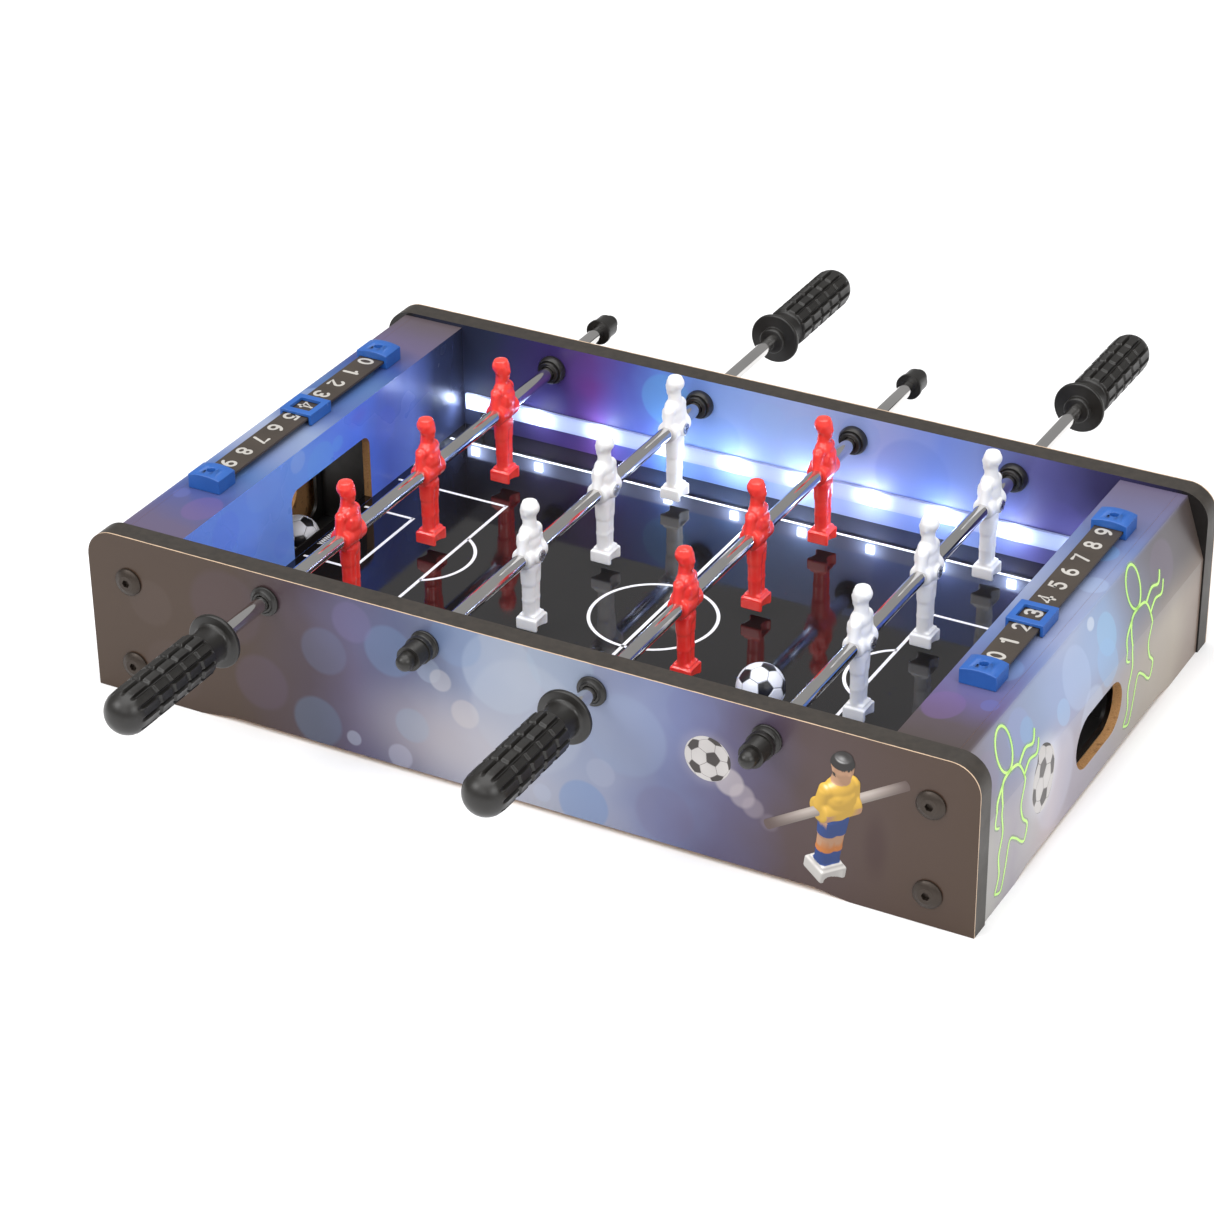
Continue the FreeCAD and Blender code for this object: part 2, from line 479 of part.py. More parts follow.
# handle, modelled with the rod running to +Y and the middle player at y = 0
rings = []
for k in range(5):
    rings.append(cyl(ALONG_Y, "grip_rad", "(grip_s-grip_e)/5-1.6", "0",
                     "grip_e+(grip_s-grip_e)*%d/5+0.8" % k, "0", True))
solid = fuse([cyl(ALONG_Y, "boss_rad", "boss_s-flange_s", "0", "flange_s", "0", True),
              cyl(ALONG_Y, "flange_rad", "flange_s-neck_s", "0", "neck_s", "0", True),
              cyl(ALONG_Y, "neck_rad", "neck_s-grip_s", "0", "grip_s", "0", True),
              cyl(ALONG_Y, "groove_in", "grip_s-grip_e", "0", "grip_e", "0", True),
              ball("grip_rad", "0", "grip_e", "0", True)] + rings)
spokes = []
for k in range(5):
    b = new("Part::Box")
    bind(b, Length="40", Width="grip_s-grip_e-1", Height="1.6")
    rot = Rotation(Vector(0, 1, 0), 36.0 * k)
    c = rot.multVec(Vector(-20, 0, -0.8))
    b.Placement = Placement(Vector(c.x, 0, c.z), rot)
    b.setExpression("Placement.Base.y", ex("grip_e"))
    spokes.append(b)
star = cut(fuse(spokes), [cyl(ALONG_Y, "groove_in", "grip_s-grip_e+4", "0", "grip_e-2", "0", True)])
handle_master = cut(solid, [star, cyl(ALONG_Y, "rod_rad+0.04", "boss_s-rod_start+0.5", "0", "rod_start-0.2", "0", True)])

# end cap, same convention
cap_solid = fuse([cyl(ALONG_Y, "cap_rim", "2.5", "0", "cap_s", "0", True),
                  cyl(ALONG_Y, "cap_rad", "11.5", "0", "cap_s", "0", True),
                  cyl(ALONG_Y, "cap_nub", "14.5", "0", "cap_s", "0", True),
                  ball("cap_nub", "0", "cap_s+14.5", "0", True)])
cap_master = cut(cap_solid, [cyl(ALONG_Y, "rod_rad+run_gap", "rod_end-cap_s+0.4+1", "0", "cap_s-1", "0", True)])

# rod tube with a cross hole at each player
tube = cut(cyl(ALONG_Y, "rod_rad", "rod_end-rod_start", "0", "rod_start", "0", True),
           [cyl(ALONG_Y, "rod_bore", "rod_end-rod_start+2", "0", "rod_start-1", "0", True)])
cross_f = [cyl(ALONG_X, "screw_rad+0.1", "6", "-6", "%d*player_gap" % k, "0", True) for k in (-1, 0, 1)]
rod_master = cut(tube, cross_f)

RODS = [("1", "-rod_out", "rest_one", 1), ("2", "-rod_in", "rest_two", -1),
        ("3", "rod_in", "rest_three", 1), ("4", "rod_out", "rest_four", -1)]
for num, xs, rest, sg in RODS:
    rot = None if sg > 0 else HALF_TURN
    colour = "red" if sg > 0 else "white"
    node(copy_of(rod_master, xs, rest, "rod_hgt", rot), "rod_" + num)
    node(copy_of(handle_master, xs, rest, "rod_hgt", rot), "handle_" + num)
    node(copy_of(cap_master, xs, rest, "rod_hgt", rot), "end_cap_" + num)
    sc = []
    for k, letter in ((-1, "a"), (0, "b"), (1, "c")):
        y = "%s+(%d)*player_gap" % (rest, k)
        node(copy_of(player_master, xs, y, "rod_hgt", rot), "%s_player_%s%s" % (colour, num, letter))
        sc.append(copy_of(screw_master, xs, y, "rod_hgt", rot))
    node(group(sc), "player_screws_" + num)

# ---------------------------------------------------------------- balls
node(ball("ball_rad", "ball_x", "ball_y", "field_top+ball_rad+0.02"), "field_ball")
node(ball("ball_rad", "gball_x", "gball_y", "tray_floor+ball_rad+0.02"), "goal_ball")

# ---------------------------------------------------------------- checks and export
doc.recompute()
bad = []
for obj in doc.Objects:
    state = [str(s) for s in obj.State]
    if "Invalid" in state or "Error" in state:
        bad.append("%s (%s): %s" % (obj.Name, obj.Label, state))
labels = [name for name, _ in NODES]
if len(set(labels)) != len(labels):
    bad.append("two sub-parts share a label")
for name, obj in NODES:
    shape = obj.Shape
    if shape.isNull() or not shape.isValid() or not shape.Solids:
        bad.append("%s: null or not valid" % name)
    elif any(s.Volume <= 0 for s in shape.Solids):
        bad.append("%s: empty solid" % name)
    if obj.Label != name:
        bad.append("%s: label is %s" % (name, obj.Label))
if bad:
    raise RuntimeError("model not sound:\n" + "\n".join(bad))

os.makedirs("parts", exist_ok=True)
total = FreeCAD.BoundBox()
for name, obj in NODES:
    obj.Shape.exportStep(os.path.join("parts", name + ".step"))
    total.add(obj.Shape.BoundBox)
run = D["led_low"] - D["wire_z"] - D["wire_bend"]
print("%d nodes, %d solids" % (len(NODES), sum(len(o.Shape.Solids) for _, o in NODES)))
print("overall X %.2f..%.2f Y %.2f..%.2f Z %.2f..%.2f" % (
    total.XMin, total.XMax, total.YMin, total.YMax, total.ZMin, total.ZMax))
print("wire bend radius %.1f, diameter %.1f" % (D["wire_bend"], 2 * D["wire_rad"]))
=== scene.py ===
import bpy
import bmesh
import math
import numpy as np
from mathutils import Matrix, Vector


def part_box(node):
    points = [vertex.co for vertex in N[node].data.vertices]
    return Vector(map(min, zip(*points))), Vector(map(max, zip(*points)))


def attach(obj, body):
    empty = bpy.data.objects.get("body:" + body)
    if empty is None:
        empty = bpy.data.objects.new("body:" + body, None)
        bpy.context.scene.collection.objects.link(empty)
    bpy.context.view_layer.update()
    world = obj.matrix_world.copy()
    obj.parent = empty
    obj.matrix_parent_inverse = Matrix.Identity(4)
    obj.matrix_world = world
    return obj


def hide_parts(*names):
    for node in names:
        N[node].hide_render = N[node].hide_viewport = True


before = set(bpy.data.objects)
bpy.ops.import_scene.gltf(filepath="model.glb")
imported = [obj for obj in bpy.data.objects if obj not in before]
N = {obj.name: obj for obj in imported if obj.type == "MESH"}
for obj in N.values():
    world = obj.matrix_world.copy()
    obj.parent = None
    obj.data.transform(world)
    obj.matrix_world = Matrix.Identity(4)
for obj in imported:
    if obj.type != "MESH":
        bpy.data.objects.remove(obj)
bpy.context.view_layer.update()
MM = 0.001
YC = -0.018            # middle of the cabinet along Y, in the row frame
scene = bpy.context.scene
coll = scene.collection


# ------------------------------------------------------------------ helpers
def srgb(r, g, b):
    def f(c):
        c = c / 255.0
        return c / 12.92 if c <= 0.04045 else ((c + 0.055) / 1.055) ** 2.4
    return (f(r), f(g), f(b), 1.0)


class Mat:
    """A principled material with a few short node helpers."""

    def __init__(self, name, **sockets):
        self.m = bpy.data.materials.new(name)
        self.m.use_nodes = True
        self.nt = self.m.node_tree
        self.b = self.nt.nodes["Principled BSDF"]
        self.set(**sockets)

    def set(self, **sockets):
        for k, v in sockets.items():
            self.b.inputs[k.replace("_", " ")].default_value = v
        return self

    def node(self, kind, **props):
        n = self.nt.nodes.new(kind)
        for k, v in props.items():
            setattr(n, k, v)
        return n

    def link(self, a, b):
        self.nt.links.new(a, b)

    def feed(self, sock, v):
        if isinstance(v, bpy.types.NodeSocket):
            self.link(v, sock)
        elif v is not None:
            sock.default_value = v

    def coords(self):
        if not hasattr(self, "_co"):
            self._co = self.node("ShaderNodeTexCoord").outputs["Object"]
        return self._co

    def xyz(self):
        if not hasattr(self, "_xyz"):
            s = self.node("ShaderNodeSeparateXYZ")
            self.link(self.coords(), s.inputs[0])
            self._xyz = s.outputs
        return self._xyz

    def math(self, op, a, b=None, c=None, clamp=False):
        n = self.node("ShaderNodeMath", operation=op, use_clamp=clamp)
        self.feed(n.inputs[0], a)
        self.feed(n.inputs[1], b)
        if c is not None:
            self.feed(n.inputs[2], c)
        return n.outputs[0]

    def vmath(self, op, a, b=None):
        n = self.node("ShaderNodeVectorMath", operation=op)
        self.feed(n.inputs[0], a)
        if b is not None:
            self.feed(n.inputs[1], b)
        return n.outputs["Value"] if op in ("LENGTH", "DOT_PRODUCT", "DISTANCE") else n.outputs[0]

    def combine(self, x, y, z=0.0):
        n = self.node("ShaderNodeCombineXYZ")
        for s, v in zip(n.inputs, (x, y, z)):
            self.feed(s, v)
        return n.outputs[0]

    def mix(self, fac, a, b, blend="MIX"):
        n = self.node("ShaderNodeMix", data_type="RGBA", blend_type=blend)
        self.feed(n.inputs[0], fac)
        self.feed(n.inputs[6], a)
        self.feed(n.inputs[7], b)
        return n.outputs[2]

    def noise(self, scale, detail=3.0, rough=0.5, vec=None, w=None):
        n = self.node("ShaderNodeTexNoise")
        n.inputs["Scale"].default_value = scale
        n.inputs["Detail"].default_value = detail
        n.inputs["Roughness"].default_value = rough
        self.link(vec or self.coords(), n.inputs["Vector"])
        return n.outputs["Fac"]

    def remap(self, v, a, b, c=0.0, d=1.0, kind="LINEAR"):
        n = self.node("ShaderNodeMapRange", interpolation_type=kind)
        self.feed(n.inputs[0], v)
        for i, x in enumerate((a, b, c, d)):
            self.feed(n.inputs[i + 1], x)
        return n.outputs[0]

    def ramp(self, v, stops):
        n = self.node("ShaderNodeValToRGB")
        e = n.color_ramp.elements
        e[0].position, e[0].color = stops[0]
        e[1].position, e[1].color = stops[-1]
        for p, c in stops[1:-1]:
            k = e.new(p)
            k.color = c
        self.feed(n.inputs[0], v)
        return n.outputs[0]

    def bump(self, height, strength=0.3, distance=0.0002):
        n = self.node("ShaderNodeBump")
        n.inputs["Strength"].default_value = strength
        n.inputs["Distance"].default_value = distance
        self.link(height, n.inputs["Height"])
        self.link(n.outputs[0], self.b.inputs["Normal"])
        return n

    def color(self, v):
        self.feed(self.b.inputs["Base Color"], v)
        return self

    def rough(self, v):
        self.feed(self.b.inputs["Roughness"], v)
        return self

    def discs(self, base, u, v, items):
        """Soft translucent discs printed over a base colour, in millimetres on the surface."""
        p = self.combine(u, v)
        out = base
        for cu, cv, ru, rv, col, alpha, soft in items:
            q = self.vmath("SUBTRACT", p, (cu * MM, cv * MM, 0))
            q = self.vmath("MULTIPLY", q, (1000.0 / ru, 1000.0 / rv, 0))
            d = self.vmath("LENGTH", q)
            f = self.remap(d, 1.0, 1.0 - soft, 0.0, alpha, "SMOOTHSTEP")
            out = self.mix(f, out, col)
        return out


def assign(node, default, *rules):
    """Material slots by where a face is and which way it looks; the mesh's points stay as they are."""
    o = N[node]
    me = o.data
    me.materials.clear()
    mats = [default] + [r[0] for r in rules]
    for m in mats:
        me.materials.append(m.m)
    idx = np.zeros(len(me.polygons), np.int32)
    if rules:
        ce = np.zeros(len(me.polygons) * 3)
        no = np.zeros(len(me.polygons) * 3)
        me.polygons.foreach_get("center", ce)
        me.polygons.foreach_get("normal", no)
        ce, no = ce.reshape(-1, 3), no.reshape(-1, 3)
        for i, (m, test) in enumerate(rules, start=1):
            idx[test(ce, no)] = i
    me.polygons.foreach_set("material_index", idx)
    me.update()
    return o


def soften(node, width=0.4, segments=2, angle=35):
    o = N[node]
    w = o.modifiers.new("weld", "WELD")
    w.merge_threshold = 2e-6
    b = o.modifiers.new("edge", "BEVEL")
    b.width = width * MM
    b.segments = segments
    b.limit_method = "ANGLE"
    b.angle_limit = math.radians(angle)
    b.harden_normals = True
    b.use_clamp_overlap = True
    b.miter_outer = "MITER_ARC"


def smooth(me, angle=35):
    bm = bmesh.new()
    bm.from_mesh(me)
    lim = math.radians(angle)
    for f in bm.faces:
        f.smooth = True
    for e in bm.edges:
        e.smooth = not (len(e.link_faces) == 2 and e.calc_face_angle(0.0) > lim)
    bm.to_mesh(me)
    bm.free()


def mesh_object(name, me, mat, body, replaces=(), loc=(0, 0, 0), rot=None):
    o = bpy.data.objects.new(name, me)
    coll.objects.link(o)
    if mat is not None and not me.materials:
        me.materials.append(mat.m)
    if rot is not None:
        o.matrix_world = Matrix.Translation(loc) @ rot
    else:
        o.location = loc
    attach(o, body)
    if replaces:
        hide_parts(*replaces)
    return o


def from_bm(bm, name):
    me = bpy.data.meshes.new(name)
    bm.normal_update()
    bm.to_mesh(me)
    bm.free()
    return me


def lathe(rings, steps, name, depth=None):
    """Closed surface of revolution about Y. rings: (y, radius) in mm; depth(y, angle) is taken off the radius."""
    bm = bmesh.new()
    rows = []
    for y, r in rings:
        row = []
        for k in range(steps):
            a = 2 * math.pi * k / steps
            rr = r - (depth(y, a) if depth else 0.0)
            row.append(bm.verts.new((rr * math.sin(a) * MM, y * MM, rr * math.cos(a) * MM)))
        rows.append(row)
    for a, b in zip(rows, rows[1:]):
        for k in range(steps):
            bm.faces.new((a[k], a[(k + 1) % steps], b[(k + 1) % steps], b[k]))
    bm.faces.new(rows[0][::-1])
    bm.faces.new(rows[-1])
    bmesh.ops.recalc_face_normals(bm, faces=bm.faces)
    return from_bm(bm, name)


def slab(name, outline, put, thick=0.10):
    """Thin printed patch: outline in the surface's own (u, v) mm, put(u, v, lift) gives the 3-D point."""
    bm = bmesh.new()
    top = [bm.verts.new(put(u, v, thick)) for u, v in outline]
    low = [bm.verts.new(put(u, v, -0.02)) for u, v in outline]
    bm.faces.new(top)
    n = len(outline)
    for i in range(n):
        bm.faces.new((low[i], low[(i + 1) % n], top[(i + 1) % n], top[i]))
    bm.faces.new(low[::-1])
    bmesh.ops.recalc_face_normals(bm, faces=bm.faces)
    bmesh.ops.triangulate(bm, faces=[f for f in bm.faces if len(f.verts) > 4])
    return from_bm(bm, name)


def ribbon(name, pts, width, put, thick=0.10, closed=False):
    """Printed line of even width through points on a surface."""
    n = len(pts)
    L, R = [], []
    for i in range(n):
        a = pts[(i - 1) % n] if (closed or i > 0) else pts[i]
        b = pts[(i + 1) % n] if (closed or i < n - 1) else pts[i]
        dx, dy = b[0] - a[0], b[1] - a[1]
        l = math.hypot(dx, dy) or 1.0
        nx, ny = -dy / l * width / 2, dx / l * width / 2
        L.append((pts[i][0] + nx, pts[i][1] + ny))
        R.append((pts[i][0] - nx, pts[i][1] - ny))
    bm = bmesh.new()
    tl = [bm.verts.new(put(u, v, thick)) for u, v in L]
    tr = [bm.verts.new(put(u, v, thick)) for u, v in R]
    bl = [bm.verts.new(put(u, v, -0.02)) for u, v in L]
    br = [bm.verts.new(put(u, v, -0.02)) for u, v in R]
    m = n if closed else n - 1
    for i in range(m):
        j = (i + 1) % n
        bm.faces.new((tl[i], tr[i], tr[j], tl[j]))
        bm.faces.new((bl[i], bl[j], br[j], br[i]))
        bm.faces.new((tl[i], tl[j], bl[j], bl[i]))
        bm.faces.new((tr[i], br[i], br[j], tr[j]))
    if not closed:
        bm.faces.new((tl[0], bl[0], br[0], tr[0]))
        bm.faces.new((tl[-1], tr[-1], br[-1], bl[-1]))
    bmesh.ops.recalc_face_normals(bm, faces=bm.faces)
    return from_bm(bm, name)


def join(meshes, name):
    bm = bmesh.new()
    for m in meshes:
        bm.from_mesh(m)
    me = bpy.data.meshes.new(name)
    bm.to_mesh(me)
    bm.free()
    return me


def arc(cx, cy, r, a0, a1, n=48):
    return [(cx + r * math.cos(math.radians(a0 + (a1 - a0) * i / n)),
             cy + r * math.sin(math.radians(a0 + (a1 - a0) * i / n))) for i in range(n + 1)]


# ------------------------------------------------------------------ camera
cam = bpy.data.cameras.new("camera")
cam.lens = 106.589
cam.sensor_width = 36.0
cam.sensor_fit = "HORIZONTAL"
cam.clip_end = 20
cam_o = bpy.data.objects.new("camera", cam)
coll.objects.link(cam_o)
right = Vector((0.87817, 0.478231, -0.01064))
down = Vector((0.231465, -0.444291, -0.865465))
fwd = Vector((-0.418619, 0.757562, -0.500857))
cam_o.matrix_world = Matrix((
    (right.x, -down.x, -fwd.x, 0.78688),
    (right.y, -down.y, -fwd.y, -1.49704),
    (right.z, -down.z, -fwd.z, 1.00434),
    (0, 0, 0, 1)))
scene.camera = cam_o
scene.view_settings.view_transform = "Standard"
scene.view_settings.look = "None"

# ------------------------------------------------------------------ materials
WHITE = srgb(240, 240, 246)


def print_coat(m, rough=0.32):
    """Printed film on board: faint orange peel, small roughness drift and rubbed spots."""
    n = m.noise(900, 2)
    m.bump(n, 0.10, 0.00003)
    drift = m.noise(9, 4, 0.6)
    m.rough(m.remap(drift, 0.3, 0.7, rough - 0.05, rough + 0.08))
    m.set(Specular_IOR_Level=0.34, Coat_Weight=0.05, Coat_Roughness=0.12)
    return m


def ink(gain, haze):
    """Ink strength of a print: how light a surface stands in the studio is taken off its colours."""
    def f(r, g, b):
        return tuple(min(1.0, max(0.004, (c - haze) / k)) for c, k in zip(srgb(r, g, b)[:3], gain)) + (1.0,)
    return f


def stops(lo, hi, table, tone):
    """Ramp stops from (position in mm, r, g, b) along a wall."""
    return [((p - lo) / float(hi - lo), tone(r, g, b)) for p, r, g, b in table]


def front_art(name, deep=False, trail=True):
    m = Mat(name)
    tone = ink((1.22, 1.22, 1.26), 0.006) if deep else ink((1.44, 1.56, 1.66), 0.030)
    x, y, z = m.xyz()[0], m.xyz()[1], m.xyz()[2]
    warp = m.noise(14, 3, 0.55)
    u = m.math("MULTIPLY_ADD", m.math("SUBTRACT", warp, 0.5), 0.05, x)
    t = m.remap(u, -0.256, 0.256)
    if not deep:
        base = m.ramp(t, stops(-256, 256, [
            (-256, 90, 77, 67), (-165, 91, 78, 70), (-122, 92, 82, 94), (-92, 106, 102, 134), (-64, 104, 110, 146),
            (-20, 146, 164, 200), (12, 172, 184, 208), (60, 164, 174, 204), (92, 130, 142, 188),
            (122, 108, 106, 142), (165, 99, 86, 88), (215, 94, 80, 73), (256, 92, 78, 68)], tone))
        glow = m.discs(base, x, z, [(-22, 26, 84, 46, tone(216, 214, 220), 0.6, 0.9),
                                    (-70, 82, 60, 34, tone(96, 116, 168), 0.22, 0.9),
                                    (70, 88, 60, 36, tone(130, 156, 216), 0.3, 0.9),
                                    (30, 36, 50, 40, tone(140, 168, 214), 0.35, 0.9)])
        items = [
            (-4, 76, 24, 24, tone(186, 204, 230), 0.45, 0.10), (30, 90, 20, 20, tone(170, 196, 226), 0.4, 0.12),
            (66, 60, 25, 25, tone(158, 180, 218), 0.38, 0.14), (10, 55, 34, 34, tone(196, 208, 228), 0.28, 0.12),
            (-47, 66, 8, 8, tone(180, 200, 228), 0.35, 0.2), (-70, 71, 16, 16, tone(120, 152, 196), 0.36, 0.16),
            (-92, 82, 13, 13, tone(128, 122, 172), 0.35, 0.2), (-40, 62, 7, 7, tone(208, 214, 228), 0.5, 0.2),
            (-26, 46, 9, 9, tone(226, 224, 228), 0.35, 0.2), (-110, 60, 15, 15, tone(118, 136, 176), 0.25, 0.18),
            (-94, 12, 5, 5, tone(190, 204, 232), 0.45, 0.25), (-66, 9, 8, 8, tone(196, 204, 232), 0.4, 0.2),
            (42, 12, 15, 15, tone(118, 158, 218), 0.45, 0.12), (18, 12, 6, 6, tone(190, 204, 234), 0.4, 0.25),
            (-116, 16, 16, 16, tone(116, 148, 184), 0.3, 0.18), (-150, 30, 18, 18, tone(116, 104, 134), 0.22, 0.2),
            (-218, 60, 15, 15, tone(104, 92, 88), 0.3, 0.2), (-206, 22, 20, 20, tone(102, 90, 88), 0.25, 0.2),
            (-170, 70, 24, 24, tone(106, 92, 112), 0.22, 0.2), (52, 34, 9, 9, tone(186, 198, 226), 0.3, 0.2),
            (88, 20, 18, 18, tone(126, 118, 156), 0.28, 0.2), (-30, 88, 16, 16, tone(136, 166, 212), 0.35, 0.16),
            (-58, 30, 11, 11, tone(158, 186, 216), 0.3, 0.2), (104, 84, 16, 16, tone(124, 130, 180), 0.25, 0.2),
            # pale trail behind the printed ball
            (112, 60, 19, 19, tone(206, 206, 218), 0.45, 0.75), (124, 50, 9, 9, tone(220, 218, 224), 0.5, 0.25),
            (131, 44, 8, 8, tone(206, 202, 212), 0.4, 0.3), (137, 39, 7, 7, tone(190, 184, 198), 0.32, 0.35),
            (146, 33, 6, 6, tone(170, 162, 178), 0.22, 0.4),
            (203, 36, 9, 26, tone(74, 56, 58), 0.4, 0.8)]
        if not trail:
            items = items[:-6]
    else:
        base = m.ramp(t, stops(-256, 256, [
            (-256, 22, 24, 38), (-190, 52, 57, 80), (-138, 68, 54, 112), (-118, 100, 72, 146), (-98, 92, 98, 184),
            (-74, 106, 144, 230), (-20, 144, 172, 238), (12, 166, 184, 238), (62, 158, 172, 230),
            (92, 126, 150, 230), (118, 132, 150, 216), (160, 96, 94, 156), (192, 64, 60, 102), (256, 34, 32, 50)], tone))
        glow = m.discs(base, x, z, [(-5, 66, 70, 30, tone(150, 178, 238), 0.3, 0.9),
                                    (-120, 74, 16, 12, tone(110, 52, 128), 0.35, 0.9)])
        items = [
            (-70, 78, 17, 17, tone(112, 180, 236), 0.42, 0.12), (-36, 62, 14, 14, tone(124, 160, 230), 0.3, 0.14),
            (-5, 80, 12, 12, tone(156, 186, 240), 0.3, 0.14), (22, 70, 20, 20, tone(150, 180, 240), 0.32, 0.12),
            (52, 84, 13, 13, tone(132, 160, 230), 0.28, 0.14), (30, 50, 7, 7, tone(176, 198, 242), 0.3, 0.2),
            (84, 66, 24, 24, tone(110, 134, 216), 0.3, 0.12), (140, 72, 15, 15, tone(110, 120, 192), 0.3, 0.14),
            (-150, 60, 16, 16, tone(56, 60, 120), 0.35, 0.2), (172, 56, 18, 18, tone(92, 86, 152), 0.3, 0.2),
            (-100, 50, 12, 12, tone(84, 104, 184), 0.3, 0.2), (118, 40, 10, 10, tone(132, 160, 226), 0.3, 0.2)]
    art = m.discs(glow, x, z, items)
    if deep:
        ax = m.math("ABSOLUTE", x)
        art = m.mix(m.remap(ax, 0.236, 0.241), art, srgb(24, 21, 20))
    m.color(art)
    return print_coat(m)


def end_art(name, side):
    """Art that runs over the flat top, the bevel and the upright part of an end box."""
    m = Mat(name)
    tone = ink((1.24, 1.24, 1.24), 0.012)
    flank = ink((1.36, 1.36, 1.34), 0.014)
    upright = ink((1.44, 1.5, 1.5), 0.016)
    x, y, z = m.xyz()[0], m.xyz()[1], m.xyz()[2]
    v = m.math("ADD", m.math("SUBTRACT", m.math("ABSOLUTE", x), 0.205), m.math("SUBTRACT", 0.094, z))
    warp = m.noise(16, 3, 0.55)
    yy = m.math("MULTIPLY_ADD", m.math("SUBTRACT", warp, 0.5), 0.035, y)
    t = m.remap(yy, -0.163, 0.127)
    if side == "left":
        top = m.ramp(t, stops(-163, 127, [
            (-163, 106, 96, 120), (-146, 104, 96, 124), (-118, 84, 94, 150), (-90, 90, 120, 176), (-60, 130, 146, 188),
            (-32, 146, 162, 196), (-4, 90, 112, 170), (30, 90, 120, 172), (60, 70, 90, 154), (88, 108, 98, 130),
            (127, 98, 88, 90)], tone))
    else:
        top = m.ramp(t, stops(-163, 127, [
            (-163, 86, 77, 76), (-142, 92, 82, 88), (-118, 106, 96, 138), (-60, 112, 130, 178), (-30, 134, 148, 190),
            (2, 152, 162, 192), (32, 138, 150, 188), (60, 112, 128, 174), (92, 114, 114, 150), (127, 108, 100, 124)], tone))
    slope = m.ramp(t, stops(-163, 127, [
        (-163, 132, 124, 134), (-120, 140, 148, 180), (-88, 144, 158, 188), (-58, 156, 170, 206), (-26, 150, 170, 208),
        (4, 142, 166, 204), (32, 132, 136, 156), (70, 108, 104, 112), (127, 88, 78, 72)], flank))
    low = m.ramp(t, stops(-163, 127, [
        (-163, 182, 182, 178), (-130, 176, 172, 182), (-108, 190, 188, 192), (-80, 210, 198, 200), (-56, 174, 168, 182),
        (-16, 166, 162, 172), (40, 174, 166, 154), (82, 182, 172, 156), (127, 150, 134, 122)], upright))
    base = m.mix(m.remap(v, 0.036, 0.042, 0, 1, "SMOOTHSTEP"), top, slope)
    base = m.mix(m.remap(v, 0.066, 0.104, 0, 1, "SMOOTHSTEP"), base, low)
    glow = m.discs(base, y, v, [(-40, 34, 40, 26, tone(216, 214, 222), 0.22, 0.95),
                                (-10, 62, 55, 34, tone(184, 204, 234), 0.22, 0.95),
                                (-70, 60, 45, 34, tone(160, 182, 226), 0.22, 0.95),
                                (30, 20, 30, 16, tone(78, 110, 184), 0.22, 0.95)])
    items = [
        (-128, 10, 14, 11, tone(124, 98, 152), 0.4, 0.12), (-118, 30, 6, 5, tone(104, 112, 176), 0.45, 0.2),
        (0, 62, 12, 15, tone(146, 190, 226), 0.5, 0.10), (-6, 78, 13, 16, tone(146, 184, 226), 0.4, 0.12),
        (-42, 66, 17, 22, tone(184, 202, 234), 0.3, 0.12), (-64, 76, 8, 9, tone(160, 194, 232), 0.42, 0.14),
        (48, 22, 10, 9, tone(112, 158, 212), 0.45, 0.14), (-30, 100, 16, 20, tone(196, 210, 234), 0.3, 0.14),
        (-112, 58, 14, 16, tone(140, 156, 206), 0.35, 0.14), (-104, 62, 8, 9, tone(128, 176, 216), 0.36, 0.14),
        (14, 30, 9, 9, tone(172, 192, 226), 0.35, 0.2), (78, 60, 16, 18, tone(128, 112, 138), 0.28, 0.16),
        (-84, 22, 13, 11, tone(122, 158, 210), 0.35, 0.14), (-150, 60, 12, 14, tone(140, 126, 148), 0.28, 0.16),
        (-14, 46, 5, 5, tone(222, 230, 240), 0.5, 0.3), (-76, 110, 26, 30, tone(206, 208, 230), 0.28, 0.2),
        # glow round the printed ball
        (-93, 98, 24, 28, tone(226, 230, 240), 0.55, 0.6)]
    m.color(m.discs(glow, y, v, items))
    return print_coat(m)


def goal_art(name):
    m = Mat(name)
    tone = ink((1.22, 1.1, 0.86), 0.0)
    x, y, z = m.xyz()[0], m.xyz()[1], m.xyz()[2]
    warp = m.noise(15, 3, 0.55)
    yy = m.math("MULTIPLY_ADD", m.math("SUBTRACT", warp, 0.5), 0.035, y)
    t = m.remap(yy, -0.163, 0.127)
    base = m.ramp(t, stops(-163, 127, [
        (-163, 124, 160, 250), (-105, 128, 166, 252), (-66, 134, 172, 254), (-48, 128, 172, 254), (-20, 108, 148, 240),
        (10, 100, 138, 234), (40, 92, 110, 182), (68, 104, 122, 180), (98, 52, 58, 80), (127, 32, 32, 40)], tone))
    glow = m.discs(base, y, z, [(-30, 84, 40, 22, tone(136, 176, 252), 0.3, 0.95),
                                (12, 88, 14, 9, tone(112, 84, 186), 0.3, 0.95)])
    items = [(-28, 78, 14, 12, tone(122, 180, 246), 0.45, 0.12), (-10, 81, 6, 5, tone(120, 178, 246), 0.4, 0.16),
             (-84, 88, 18, 14, tone(140, 178, 250), 0.4, 0.14), (-104, 60, 12, 12, tone(122, 158, 246), 0.4, 0.16),
             (-122, 78, 14, 14, tone(116, 146, 240), 0.35, 0.16), (40, 70, 12, 12, tone(92, 110, 196), 0.35, 0.2),
             (-70, 46, 9, 9, tone(122, 152, 244), 0.3, 0.2), (-50, 88, 8, 7, tone(176, 200, 252), 0.4, 0.2)]
    m.color(m.discs(glow, y, z, items))
    return print_coat(m, 0.26)


